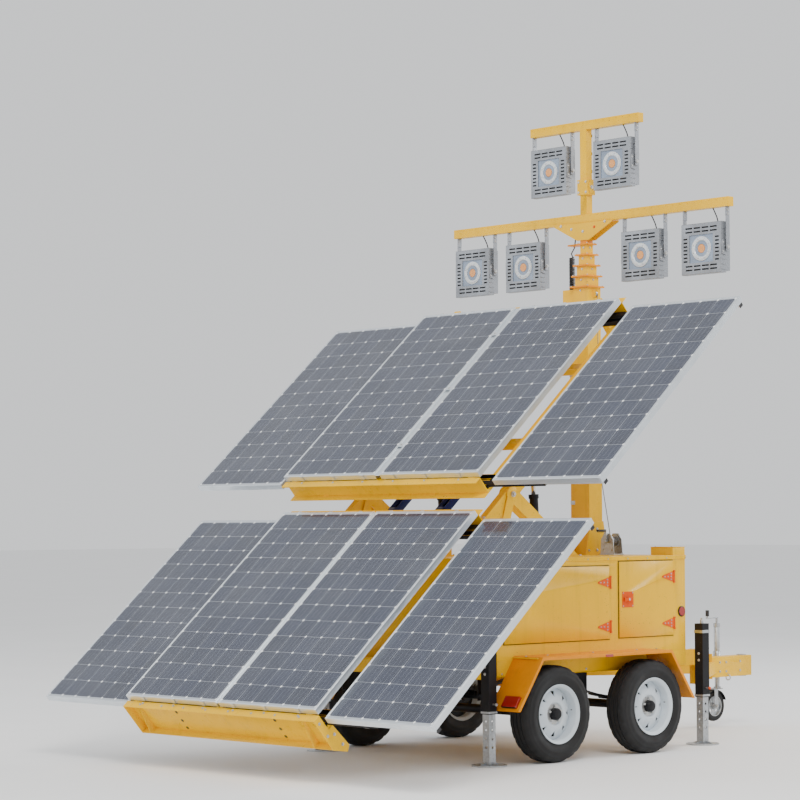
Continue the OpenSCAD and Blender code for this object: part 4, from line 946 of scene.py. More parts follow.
# ------------------------------------------------------------------ floodlights
@dataclass
class Floodlight:
    """One LED floodlight: slotted face, ringed lens, finned back and pivot plates."""

    number: int
    x: float
    z: float
    y: float = 2005.0
    half: float = 190.0
    front: float = -60.0
    mid: float = 0.0
    back: float = 60.0

    def slots(self) -> List[Tuple[float, float, float, float]]:
        """The slots in the face, as low x, low z, high x, high z."""
        cuts = []
        for z, k in product((150, 122, -134, -162), range(4)):
            low = -150 + k * 78
            cuts.append((low, z, low + 66, z + 12))
        for x, k in product((-170, 132), range(7)):
            low = -96 + k * 28
            cuts.append((x, low, x + 38, low + 12))
        return cuts

    def face(self, draft: Draft) -> None:
        """Add the front plate with its slots sunk in and its centre set back."""
        # The slot floors take the near-black gasket finish as painted shade inside the slots.
        cuts = [(a, b, c, d, 9.0, Coat.GASKET_AND_SHADE) for a, b, c, d in self.slots()]
        # The set-back centre takes the darker bluish recess finish as painted shade.
        cuts.append((-112, -104, 112, 104, 6.0, Coat.RECESS_SHADE))
        xs = sorted({-self.half + 4, self.half - 4, *[v for c in cuts for v in (c[0], c[2])]})
        zs = sorted({-self.half + 4, self.half - 4, *[v for c in cuts for v in (c[1], c[3])]})
        depth: Dict[Tuple[int, int], Tuple[float, Coat]] = {}
        for i, j in product(range(len(xs) - 1), range(len(zs) - 1)):
            cx, cz = (xs[i] + xs[i + 1]) / 2, (zs[j] + zs[j + 1]) / 2
            hit = next((c for c in cuts if c[0] < cx < c[2] and c[1] < cz < c[3]), None)
            depth[i, j] = (hit[4], hit[5]) if hit else (0.0, Coat.CAST)
        bm, made = draft.bm, {}

        def corner(i: int, j: int, deep: float) -> bmesh.types.BMVert:
            """One corner of the plate at a depth."""
            key = (i, j, deep)
            if key not in made:
                made[key] = bm.verts.new((self.x + xs[i], self.y + self.front + deep,
                                          self.z + zs[j]))
            return made[key]

        def panel(corners: Sequence[bmesh.types.BMVert], coat: Coat) -> None:
            """One face of the plate."""
            bm.faces.new(corners).material_index = draft.slot_of(coat)

        for (i, j), (deep, coat) in depth.items():
            panel([corner(i, j, deep), corner(i + 1, j, deep), corner(i + 1, j + 1, deep),
                   corner(i, j + 1, deep)], coat)
            for di, dj, a, b in ((1, 0, (1, 0), (1, 1)), (0, 1, (1, 1), (0, 1))):
                other = depth.get((i + di, j + dj))
                if other and other[0] != deep:
                    p, q = (i + a[0], j + a[1]), (i + b[0], j + b[1])
                    panel([corner(*p, deep), corner(*p, other[0]), corner(*q, other[0]),
                           corner(*q, deep)], Coat.CAST)

    def housing(self, draft: Draft) -> None:
        """Add the body, its rim, its fins and its driver box."""
        x, y, z, h = self.x, self.y, self.z, self.half
        for a, b, c, d in ((-h, -h, -h + 5, h), (h - 5, -h, h, h), (-h + 5, -h, h - 5, -h + 5),
                           (-h + 5, h - 5, h - 5, h)):
            draft.block((x + a, y + self.front - 0.0, z + b), (x + c, y + self.mid, z + d),
                        Coat.CAST, 1.6)
        draft.block((x - h + 5, y + self.mid - 8, z - h + 5), (x + h - 5, y + self.mid, z + h - 5),
                    Coat.CAST, 0.5)
        for k in range(19):
            at = x - h + 10 + k * (2 * h - 28) / 18
            draft.block((at, y + self.mid, z - h + 16), (at + 5, y + self.back, z + h - 16),
                        Coat.CAST, 0.8)
        for side, k in product((-1, 1), range(9)):
            at = z - h + 22 + k * 38
            if abs(at - z) > 70:
                draft.block((x + side * h, y + self.front + 8, at),
                            (x + side * (h + 3.5), y + self.mid - 4, at + 5), Coat.CAST, 0.6)
        draft.block((x - 70, y + self.back - 18, z - 60), (x + 70, y + self.back - 0.5, z + 60),
                    Coat.CAST, 3)

    def lens(self, draft: Draft) -> None:
        """Add the lens ring, the glass and the LED disc."""
        at = (self.x, self.y + self.front + 6, self.z)
        out = REAR
        draft.spin([(60, 0), (92, 0), (92, 5), (84, 8), (66, 8), (60, 3)], at, out, Coat.GLASS, 56)
        # The ring round the LED takes the same darker bluish finish as painted shade.
        draft.spin([(34, 0), (60, 0), (60, 2), (36, 4)], at, out, Coat.RECESS_SHADE, 48)
        draft.disc(at, out, 32, 4.6, Coat.AMBER, 36)
        for dx, dz in spread(8, 76):
            draft.bolt((self.x + dx, self.y + self.front - 2, self.z + dz), out, 7)

    def pivots(self, draft: Draft) -> None:
        """Add the triangular pivot plates, the studs and their nuts."""
        for side in (-1, 1):
            at = self.x + side * self.half
            draft.prism([(self.y - 56, self.z - 52), (self.y - 4, self.z - 62),
                         (self.y + 26, self.z), (self.y - 4, self.z + 62),
                         (self.y - 56, self.z + 52)], "x", at, at + side * 6, Coat.CAST, 1.2)
            for dy, dz in ((-42, -34), (-42, 34), (4, 0)):
                draft.bolt((at + side * 6, self.y + dy, self.z + dz), (side, 0, 0), 11)
            draft.spin([(0, 0), (7.9, 0), (7.9, 24), (0, 24)], (at, self.y, self.z),
                       (side, 0, 0), Coat.BOLT, 24)
            draft.bolt((at + side * 18.2, self.y, self.z), (side, 0, 0), 22)

    def make(self) -> None:
        """Make the floodlight in place of its CAD node, and the lead that feeds it."""
        draft = Draft(f"floodlight_{self.number}")
        self.face(draft)
        self.housing(draft)
        self.lens(draft)
        self.pivots(draft)
        draft.disc((self.x + 110, self.y + self.mid, self.z + self.half - 14), UP, 9, 0.1,
                   Coat.PLASTIC)
        draft.done(f"light_{self.number}", f"light_{self.number}")
        self.lead()

    def lead(self) -> None:
        """Make the short lead from the bar to the lamp."""
        x, y, z = self.x + 60, self.y, self.z
        draft = Draft(f"lamp_lead_{self.number}")
        draft.tube([(x, y + 10, z + 300), (x, y + 26, z + 280), (x + 4, y + 48, z + 240),
                    (x + 6, y + 66, z + 190), (x + 2, y + 66, z + 140), (x - 10, y + 52, z + 90),
                    (x - 24, y + 50, z + 60)], 4.5, Coat.CABLE)
        piece = draft.done(None)
        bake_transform(piece)


# ------------------------------------------------------------------ running gear
def corners(ys: Tuple[float, float]) -> List[Tuple[str, float, int]]:
    """The four corners' names, places along and sides: 1 on the right, -1 on the left."""
    return [(f"{word}_{hand}", y, side) for (word, y), (hand, side) in
            product(zip(("rear", "front"), ys), (("right", 1), ("left", -1)))]


def spread(count: int, radius: float) -> List[Flat]:
    """Points evenly round a circle, the first half a step from the start."""
    turns = [2 * math.pi * (k + 0.5) / count for k in range(count)]
    return [(radius * math.cos(t), radius * math.sin(t)) for t in turns]


@dataclass
class Wheels:
    """Four tyres with tread, and their painted spoke rims."""

    axle_ys: Tuple[float, float] = (494.0, 1506.0)
    centre_z: float = 343.0
    inner_x: float = 889.0
    width: float = 200.0
    around: int = 144

    def tread_profile(self) -> List[Tuple[float, float, str]]:
        """Corners of the tyre's section: radius, distance across, and what each belongs to."""
        side = [(193, 30, ""), (205, 18, ""), (223, 8, ""), (236, 6.5, ""), (239, 4, ""),
                (258, 2.0, ""), (262, 0.4, ""), (275, 0.4, ""), (279, 2.2, ""), (300, 6, ""),
                (305, 6.0, ""), (309, 9.5, ""), (322, 14, ""), (331, 20, "shoulder"),
                (339, 34, "shoulder"), (342, 50, "shoulder"), (343, 58, "rib")]
        crown: List[Tuple[float, float, str]] = []
        for groove in (62, 98, 134):
            crown += [(343, groove - 4, "rib"), (336, groove - 3, "groove"),
                      (336, groove + 3, "groove"), (343, groove + 4, "rib")]
            if groove < 134:
                crown += [(343, groove + 18, "rib")]
        other = [(r, self.width - 4 - h, kind) for r, h, kind in side[::-1]]
        inner = [(193, 140, ""), (191, 138, ""), (191, 62, ""), (193, 56, "")]
        return side + crown + other + inner

    def tyre(self, name: str, y: float, side: int) -> None:
        """Make one tyre in place of its CAD node.

        Args:
            name: front_right, rear_left and so on.
            y: its axle's place.
            side: 1 on the right, -1 on the left.
        """
        draft = Draft(f"{name}_tyre_tread")
        part = bmesh.new()
        rings = []
        for radius, across, kind in self.tread_profile():
            ring = []
            for k in range(self.around):
                turn = 2 * math.pi * k / self.around
                r = radius
                if kind == "shoulder" and k % 6 in (0, 1):
                    r -= 5.0
                if kind == "rib" and (k + int(across) // 20 * 2) % 6 == 0:
                    r -= 3.0
                x = side * (self.inner_x + across)
                ring.append(part.verts.new((x, y + r * math.cos(turn),
                                            self.centre_z + r * math.sin(turn))))
            rings.append(ring)
        for (first, second), k in product(zip(rings, rings[1:] + rings[:1]), range(self.around)):
            n = (k + 1) % self.around
            part.faces.new((first[k], first[n], second[n], second[k]))
        draft.take(part, Coat.RUBBER)
        draft.done(f"{name}_wheel", f"{name}_tyre", smooth=0.75)

    def rim(self, name: str, y: float, side: int) -> None:
        """Dress one rim, and add its valve, eight small plated studs and a black disc inside it as painted
        shade.

        Args:
            name: front_right, rear_left and so on.
            y: its axle's place.
            side: 1 on the right, -1 on the left.
        """
        z = self.centre_z

        def reach(c: Vector) -> float:
            """Distance of a face from the axle's line."""
            return math.hypot(c.y - y, c.z - z)

        Skin(f"{name}_rim", Coat.WHITE, [
            (Coat.BLACK, lambda c, n: reach(c) < 45.5 and abs(c.x) > 1016),
            (Coat.BOLT, lambda c, n: 46 < reach(c) < 70 and abs(c.x) > 1018)], edge=1.0).make()
        bits = Draft(f"{name}_valve")
        bits.tube([(side * 1028, y + 172, z + 20), (side * 1044, y + 166, z + 20)], 4, Coat.PLASTIC)
        bits.disc((side * 1044, y + 166, z + 20), (side, 0, 0), 3.2, 5, Coat.BOLT, 12, 0.5)
        # A black disc inside the rim, painted shade seen through the rim's windows.
        bits.spin([(52, 0), (184, 0), (184, 5), (52, 5)], (side * 966, y, z), (side, 0, 0),
                  Coat.BLACK, 48)
        for dy, dz in spread(8, 92):
            bits.disc((side * 1012.5, y + dy, z + dz), (side, 0, 0), 3.5, 3, Coat.BOLT, 10, 0.5)
        bits.done(f"{name}_wheel")

    def make(self) -> None:
        """Make all four wheels."""
        for name, y, side in corners(self.axle_ys):
            self.tyre(name, y, side)
            self.rim(name, y, side)


@dataclass
class Jacks:
    """Four drop-leg jacks at the chassis corners."""

    x: float = 866.0
    ys: Tuple[float, float] = (0.0, 2317.0)
    tube: float = 78.0
    stub_z: float = 918.5
    pin_z: float = 430.0
    foot_z: float = 9.8

    def make(self) -> None:
        """Dress the tubes and legs, and add bands, pins, cranks and foot gussets."""
        Skin("jack_housings", Coat.BLACK, [(Coat.ZINC, lambda c, n: c.z > self.stub_z)]).make()
        bits = Draft("jack_fittings")
        half = self.tube / 2
        for side, y in product((-1, 1), self.ys):
            x = side * self.x
            for low, high, coat in ((846, 868, Coat.ZINC), (366, 380, Coat.ZINC)):
                out = half + 2.5
                for a, b, c, d in ((-out, -out, out, -half), (-out, half, out, out),
                                   (-out, -half, -half, half), (half, -half, out, half)):
                    bits.block((x + a, y + b, low), (x + c, y + d, high), coat, 0.6)
            bits.disc((x, y, 944), UP, 9, 16, Coat.BOLT, 6, 1)
            bits.tube([(x + side * (half + out), y, self.pin_z) for out in (-1, 34)], 6,
                      Coat.BOLT, 12)
            bits.disc((x + side * (half + 30), y, self.pin_z), (side, 0, 0), 11, 10,
                      Coat.ORANGE if y > 0 else Coat.BOLT, 20, 2)
            for z in (640, 690):
                bits.bolt((x, y - half, z), REAR, 15)
        bits.done("root")
        for name, y, side in corners(self.ys):
            self.leg(f"{name}_jack_leg", side * self.x, y)

    def leg(self, name: str, x: float, y: float) -> None:
        """Dress one leg and stiffen its foot.

        Args:
            name: the leg's node and body.
            x: its place across.
            y: its place along.
        """
        Skin(name, Coat.ZINC, edge=0.8).make()
        bits = Draft(f"{name}_gussets")
        for k in range(4):
            turn = Matrix.Translation((x, y, 0)) @ Matrix.Rotation(k * math.pi / 2, 4, "Z")
            bits.prism([(31.5, self.foot_z), (92, self.foot_z), (92, 12), (31.5, 30)], "y", -2.5, 2.5, Coat.ZINC,
                       0.6, turn)
        for dx, dy in spread(4, 105):
            bits.disc((x + dx, y + dy, 10), UP, 6, 0.8, Coat.GASKET_AND_SHADE, 14, 0.2)
        bits.done(name)


@dataclass
class Chassis:
    """Frame, drawbar, mudguards, axles and springs."""

    rail_out: float = 795.0
    front: float = 2362.0

    def make(self) -> None:
        """Dress the chassis nodes, and add their bolts and fittings."""
        Skin("chassis_frame", Coat.YELLOW, edge=1.5).make()
        near_jockey = radius_test("z", -118.0, 3700.0, 33.0)
        Skin("drawbar", Coat.YELLOW, [
            (Coat.ZINC, lambda c, n: near_jockey(c, n) and c.x < -84.5)], edge=1.5).make()
        # The mudguards take the darker orange-yellow as painted shade, except the faces nearest the cabinet,
        # which keep the plain yellow.
        Skin("fenders", Coat.SHADED_YELLOW, [(Coat.YELLOW, lambda c, n: abs(c.x) < 830)], edge=0.8).make()
        Skin("axles", Coat.BLACK).make()
        Skin("leaf_springs", Coat.BLACK, edge=0.8).make()
        Skin("tail_lamps", Coat.RED, [(Coat.BLACK, lambda c, n: n.z < -0.4)], edge=2.0).make()
        self.fittings()
        self.lamp_rims()

    def fittings(self) -> None:
        """Make the bolts, the hitch rings and the mudguard stays."""
        bits = Draft("chassis_fittings")
        for side in (-1, 1):
            for y in (20, 60, 2297, 2337):
                bits.bolt((side * self.rail_out, y - 12 if y < 100 else y, 660), (side, 0, 0), 16)
            for y in (300, 520, 1000, 1480, 1700):
                bits.bolt((side * 940, y, 750.2), UP, 13)
                bits.block((side * 820, y - 14, 736), (side * 1060, y + 14, 744.8),
                           Coat.YELLOW, 0.8)
            for y in (180, 620, 1060, 1500, 1940):
                bits.bolt((side * 820, y, 628), (side, 0, 0), 12)
            for y, z in ((self.front + 10, 500), (self.front + 10, 560), (self.front + 10, 680)):
                bits.bolt((side * 770, y, z), AHEAD, 17)
        for z, way in ((585, 1), (420, -1)):
            bits.spin([(21.2, 0), (40, 0), (40, 5), (37, 7), (21.2, 7)], (0, 3870, z),
                      (0, 0, way), Coat.ZINC, 40)
        for y, z in product((3440, 3520, 3600, 3780), (540, 465)):
            bits.bolt((60.1, y, z), (1, 0, 0), 15)
        bits.tube([(60, 3620, 440), (78, 3620, 432), (88, 3620, 414), (78, 3620, 396),
                   (60, 3620, 392), (44, 3620, 400), (40, 3620, 420)], 5, Coat.ZINC, 10)
        bits.done("root")

    def lamp_rims(self) -> None:
        """Make the black rims of the round markers and the side reflectors."""
        bits = Draft("marker_rims")
        for side in (-1, 1):
            bits.spin([(34.4, -0.5), (40, -0.5), (40, 5), (36, 8), (34.4, 8)],
                      (side * 820, 2134, 1014), (side, 0, 0), Coat.BLACK, 40)
            bits.block((side * 1100, 960, 726), (side * 1103, 1040, 744), Coat.RED, 0.8)
        bits.done("root")


@dataclass
class Cabinet:
    """Battery cabinet with its doors, hinges, latches and what is inside."""

    wall: float = 820.0
    face: float = 828.3
    rear: Tuple[float, float, float, float] = (200.0, 835.0, 1110.0, 535.0)
    front: Tuple[float, float, float, float] = (1420.0, 840.0, 610.0, 560.0)

    def make(self) -> None:
        """Dress the cabinet, then each door with its fittings."""
        Skin("cabinet_shell", Coat.YELLOW, [
            (Coat.ORANGE, lambda c, n: abs(c.x) > self.wall + 0.4)], edge=1.0).make()
        Skin("cabinet_roof", Coat.YELLOW, edge=1.5).make()
        Skin("battery_bank", Coat.BATTERY, edge=3.0).make()
        Skin("charge_controller", Coat.CONTROLLER, edge=2.0).make()
        for word, place, side in (("right_rear", self.rear, 1), ("right_front", self.front, 1),
                                  ("left", self.rear, -1)):
            self.door(word, place, side)
        self.trim()

    def door(self, word: str, place: Tuple[float, float, float, float], side: int) -> None:
        """Dress one door and its latch.

        Args:
            word: right_rear, right_front or left.
            place: its rear edge, its sill, its width and its height.
            side: 1 on the right, -1 on the left.
        """
        y, z, w, h = place
        Skin(f"{word}_door", Coat.YELLOW, [
            (Coat.ORANGE, lambda c, n: abs(c.x) > self.face + 0.4)], edge=1.2).make()
        Skin(f"{word}_latch", Coat.ORANGE, edge=1.6).make()
        bits = Draft(f"{word}_door_bolts")
        x = side * (self.face + 5)
        for hinge, (back, rise) in product((z + 90, z + h - 120),
                                           ((22, 0), (22, 22), (22, -22), (58, 0), (94, 0))):
            bits.bolt((x, y + w - 6 - back, hinge + rise), (side, 0, 0), 9, Coat.BOLT)
        mid = z + h / 2
        for a, b in product((40, 144), (-48, 48)):
            bits.bolt((side * (self.face + 3), y + a, mid + b), (side, 0, 0), 8, Coat.BOLT)
        bits.done(f"{word}_door")
        lock = Draft(f"{word}_latch_lock")
        base = self.face + 3 + 0.3 + 16
        lock.disc((side * base, y + 92, mid), (side, 0, 0), 9, 2.5, Coat.CHROME, 28, 0.8)
        # A thin near-black bar on the lock, painted as the shade of its key slot.
        lock.block((side * (base + 2.4) - 0.3, y + 91, mid - 5),
                   (side * (base + 2.4) + 0.3, y + 93, mid + 5), Coat.GASKET_AND_SHADE, 0.1)
        lock.done(f"{word}_latch")
        seal = Draft(f"{word}_door_seal")
        for a, b, c, d in ((-6, -6, -1, h + 6), (w + 1, -6, w + 6, h + 6),
                           (-1, -6, w + 1, -1), (-1, h + 1, w + 1, h + 6)):
            seal.block((side * self.wall, y + a, z + b), (side * (self.wall + 4), y + c, z + d),
                       Coat.GASKET_AND_SHADE, 0.8)
        seal.done("root")

    def trim(self) -> None:
        """Make the roof's bolts, the raised box's lid, the vents and the cable glands."""
        bits = Draft("cabinet_trim")
        for side, y in product((-1, 1), range(200, 2181, 220)):
            bits.bolt((side * 826.1, y, 1422), (side, 0, 0), 9)
        for x in range(-760, 761, 190):
            bits.bolt((x, 2186.1, 1422), AHEAD, 9)
            bits.bolt((x, 123.9, 1422), REAR, 9)
        bits.block((597, 2037, 1500), (823, 2183, 1503), Coat.YELLOW, 1.2)
        for x in (630, 790):
            bits.bolt((x, 2060, 1503), UP, 10)
        for level, middle in product(range(1180, 1361, 30), (-450, 450)):
            bits.prism([(2180, level), (2188, level + 3), (2186, level + 20), (2180, level + 22)],
                       "x", middle - 130, middle + 130, Coat.YELLOW, 0.6)
        for x in (-60, 0, 60):
            bits.spin([(0, 0), (13, 0), (13, 9), (9, 20), (6, 22), (0, 22)], (x - 240, 2180, 900),
                      AHEAD, Coat.PLASTIC, 20)
        bits.done("root")
        posts = Draft("battery_terminals")
        low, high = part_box("battery_bank")
        shift = TRAILER.inverted()
        low, high = shift @ low, shift @ high
        for i, j in product(range(4), range(2)):
            x = low.x + (high.x - low.x) * (i + 0.5) / 4
            y = low.y + (high.y - low.y) * (j + 0.5) / 2
            for off, coat in ((-60, Coat.RED), (60, Coat.PLASTIC)):
                posts.disc((x + off, y, high.z), UP, 11, 14, coat, 20, 2)
        posts.done("root")


@dataclass
class ArraySupports:
    """Hinge legs on the roof, and the pair of lift cylinders."""

    hinge: Flat = (340.0, 1895.0)
    foot: Flat = (900.0, 1530.0)

    def make(self) -> None:
        """Dress the legs and cylinders, and bolt the pads down."""
        pin = radius_test("x", *self.hinge, 20.6)
        foot = radius_test("x", *self.foot, 12.6)
        Skin("array_supports", Coat.YELLOW, [
            (Coat.BOLT, lambda c, n: pin(c, n) or foot(c, n))], edge=1.2).make()
        Skin("lift_barrels", Coat.BLACK, edge=1.0).make()
        Skin("lift_rods", Coat.CHROME, edge=1.0).make()
        bits = Draft("support_bolts")
        for x in (-740, 740):
            for y, dx, dy in product((150, 870), (-56, 56), (20, 160)):
                bits.bolt((x + dx, y + dy, 1450), UP, 17)
            for out in (-54, 54):
                bits.bolt((x + out, *self.hinge), (math.copysign(1, out), 0, 0), 26)
        for x, dx, dy in product((-480, 480), (-50, 50), (-48, 48)):
            bits.bolt((x + dx, 900 + dy, 1450), UP, 13)
        bits.done("root")


# ------------------------------------------------------------------ mast
@dataclass
class Mast:
    """Five nested tubes with their collars, the rope, the winch and the coiled cable."""

    y: float = 2005.0
    width: float = 150.0
    step: float = 20.0
    top: float = 3530.0
    rise: float = 84.0
    coil_x: float = -155.0
    tray: float = 3410.3

    def make(self) -> None:
        """Dress the tubes, the support, the winch and the cables."""
        # The collar at the base tube's top takes the darker orange-yellow as painted shade.
        Skin("mast_base_tube", Coat.YELLOW, [
            (Coat.SHADED_YELLOW, lambda c, n: c.z > self.top - 60)], edge=1.2).make()
        for number in (2, 3, 4):
            # Each section's collar takes the darker orange-yellow as painted shade.
            Skin(f"mast_section_{number}", Coat.YELLOW,
                 [(Coat.PLASTIC, lambda c, n: c.z < 860),
                  (Coat.SHADED_YELLOW, lambda c, n: c.z > self.top - 100)], edge=1.0).make()
        sheaves = [radius_test("y", 91.3, z, 16.8) for z in (2150.0, 3470.0)]
        Skin("mast_support", Coat.YELLOW, [
            (Coat.ZINC, lambda c, n: any(t(c, n) for t in sheaves) and abs(c.y - self.y) < 11)],
            edge=1.0).make()
        for number in range(5):
            self.collar(number)
        self.winch()
        self.coiled_cable()
        self.foot()

    def collar(self, number: int) -> None:
        """Bolt one collar, and add its wear-pad screws.

        Args:
            number: 0 for the base tube up to 4 for the head's tube.
        """
        body = ("root", "mast_section_2", "mast_section_3", "mast_section_4", "mast_head")[number]
        z = self.top + number * self.rise
        half = (self.width - number * self.step) / 2
        bits = Draft(f"collar_bolts_{number + 1}")
        for a, b in product((-1, 1), (-1, 1)):
            bits.bolt((a * (half + 11), self.y + b * (half + 11), z), UP, 12)
        for way in ((1, 0), (-1, 0), (0, 1), (0, -1)):
            at = (way[0] * half, self.y + way[1] * half, z - 34)
            bits.bolt(at, (way[0], way[1], 0), 12)
        bits.done(body)

    def foot(self) -> None:
        """Make the bolts of the mast's foot brackets and the tray's clamp."""
        bits = Draft("mast_foot_bolts")
        for side in (-1, 1):
            for y in (-95, 0, 95):
                bits.bolt((side * 87.1, self.y + y, 1475), (side, 0, 0), 15)
            bits.bolt((side * 87.1, self.y, 1640), (side, 0, 0), 15)
        for z in (1800, 2300, 2800, 3300):
            bits.bolt((-145.1, self.y, z), (-1, 0, 0), 11)
            bits.block((-147, self.y - 47, z + 30), (-72, self.y - 45, z + 60), Coat.ZINC, 0.5)
        bits.spin([(8.4, 0), (17, 0), (17, 10), (13, 22), (8.4, 24)], (self.coil_x, self.y,
                  self.tray - 0.3), UP, Coat.PLASTIC, 24)
        bits.done("root")

    def winch(self) -> None:
        """Dress the winch, wind its rope and cut its ratchet."""
        Skin("winch_frame", Coat.ZINC, edge=0.8).make()
        Skin("winch_drum", Coat.ZINC, [
            (Coat.PLASTIC, lambda c, n: c.y < self.y - 74.5 and c.z > 1545 + 75)],
            edge=1.0).make()
        Skin("winch_rope", Coat.ROPE, edge=0.0).make()
        x, z = 235.0, 1545.0
        wound = Draft("winch_windings")
        turns, route = 9, []
        for k in range(turns * 20 + 1):
            turn = 2 * math.pi * k / 20
            route.append((x + 31 * math.cos(turn), self.y - 31 + 62 * k / (turns * 20),
                          z + 31 * math.sin(turn)))
        wound.tube(route, 3.0, Coat.ROPE, 8)
        teeth = []
        for k, (share, radius) in product(range(20), ((0.0, 50), (0.85, 42))):
            turn = 2 * math.pi * (k + share) / 20
            teeth.append((x + radius * math.cos(turn), z + radius * math.sin(turn)))
        wound.prism(teeth, "y", self.y + 38, self.y + 43, Coat.BOLT, 0.3)
        wound.done("winch_drum")
        bits = Draft("winch_bolts")
        for dx, dy in product((-62, 62), (-40, 40)):
            bits.bolt((x + dx, self.y + dy, 1448), UP, 13)
        for way, (dx, dz) in product((-1, 1), ((-44, 30), (44, 30), (0, 150))):
            bits.bolt((x + dx, self.y + way * 52, 1448 + dz), (0, way, 0), 13)
        bits.done("root")

    def coiled_cable(self) -> None:
        """Make the curly cable between the tray and the head."""
        x, y = self.coil_x, self.y
        low = self.tray + 60
        route: List[Point] = [(x, y, self.tray + 1), (x, y, self.tray + 20),
                              (x, y, self.tray + 40), (x + 8, y, low - 8)]
        turns, points = 26, 14
        for k in range(turns * points + 1):
            turn = 2 * math.pi * k / points
            route.append((x + 18.8 * math.cos(turn), y + 18.8 * math.sin(turn),
                          low + 5 + 290 * k / (turns * points)))
        head = self.tray
        route += [(x + 6, y, head + 366), (x - 6, y, head + 390), (x - 14, y + 46, head + 440),
                  (x - 10, y + 52, head + 500), (x + 10, y + 52, head + 560),
                  (x + 20, y + 52, head + 600), (x + 22, y + 48, head + 630),
                  (x + 24, y + 36, head + 650)]
        draft = Draft("curly_cable")
        draft.tube(route, 4.9, Coat.CABLE, 8)
        piece = draft.done(None, "head_cable", smooth=1.2)
        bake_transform(piece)


@dataclass
class MastHead:
    """The two crossbars with their post, gussets, hangers and rivets."""

    y: float = 2005.0
    low_bar: float = 4060.0
    high_bar: float = 4790.0
    low_half: float = 1435.0
    high_half: float = 565.0
    low_lights: Tuple[float, ...] = (-1200.0, -630.0, 600.0, 1200.0)
    high_lights: Tuple[float, ...] = (-345.0, 320.0)
    drop: float = 335.0

    def is_hanger(self, c: Vector, n: Vector) -> bool:
        """Whether a face belongs to a flat-bar hanger of a floodlight."""
        for bar, places in ((self.low_bar, self.low_lights), (self.high_bar, self.high_lights)):
            if bar - 380 < c.z < bar - 34.9 and abs(c.y - self.y) < 21.6:
                if any(abs(abs(c.x - x) - 205) < 9 for x in places):
                    return n.z < 0.9
        return False

    def make(self) -> None:
        """Dress the head, and add rivets, caps, clamp bolts and the cable plate."""
        # The head's collar band, from 3800 to 3900 mm, takes the darker orange-yellow as painted shade.
        Skin("mast_head", Coat.YELLOW, [
            (Coat.CAST, self.is_hanger),
            (Coat.PLASTIC, lambda c, n: c.z < 960),
            (Coat.SHADED_YELLOW, lambda c, n: 3800 < c.z < 3900)], edge=1.4).make()
        bits = Draft("head_fittings")
        for bar, half in ((self.low_bar, self.low_half), (self.high_bar, self.high_half)):
            count = int(half // 70)
            for k in range(-count, count + 1):
                at = k * half * 0.97 / count
                for way in (-1, 1):
                    bits.spin([(0, 0), (6.5, 0), (6, 1.8), (3.5, 3.2), (0, 3.6)],
                              (at, self.y + way * 30, bar + 24), (0, way, 0), Coat.YELLOW, 14)
            for side in (-1, 1):
                bits.block((side * half, self.y - 30, bar - 35),
                           (side * (half + 3), self.y + 30, bar + 35), Coat.YELLOW, 1.2)
        for bar, places in ((self.low_bar, self.low_lights), (self.high_bar, self.high_lights)):
            for x, off in product(places, (-205, 205)):
                side = math.copysign(1, off)
                for z in (bar - 62, bar - 92):
                    bits.bolt((x + off + side * 3, self.y, z), (side, 0, 0), 13)
                bits.block((x + off - side * 3, self.y - 20, bar - 104),
                           (x + off - side * 7, self.y + 20, bar - 35), Coat.CAST, 0.8)
        for way in (-1, 1):
            for x, z in ((-230, 4018), (-120, 3985), (0, 3960), (120, 3985), (230, 4018)):
                bits.bolt((x, self.y + way * 43.1, z), (0, way, 0), 16,
                          Coat.ORANGE if x == 120 else Coat.BOLT)
            for x, z in product((-38, 38), (4095 + 170, 4095 + 250)):
                bits.bolt((x, self.y + way * 46.1, z), (0, way, 0), 14)
        outline = [(self.y + 30 * math.cos(a), 4305 + 52 * math.sin(a))
                   for a in (math.pi * k / 12 for k in range(24))]
        bits.prism(outline, "x", 52, 58, Coat.YELLOW, 1.2)
        bits.bolt((58, self.y, 4305), (1, 0, 0), 22)
        for z in (4420, 4560, 4700):
            bits.block((-36, self.y + 33, z), (36, self.y + 37, z + 22), Coat.PLASTIC, 1)
        bits.tube([(-10, self.y + 40, 4110), (-12, self.y + 41, 4300), (-8, self.y + 41, 4500),
                   (-10, self.y + 41, 4740)], 5, Coat.CABLE, 10)
        bits.done("mast_head")


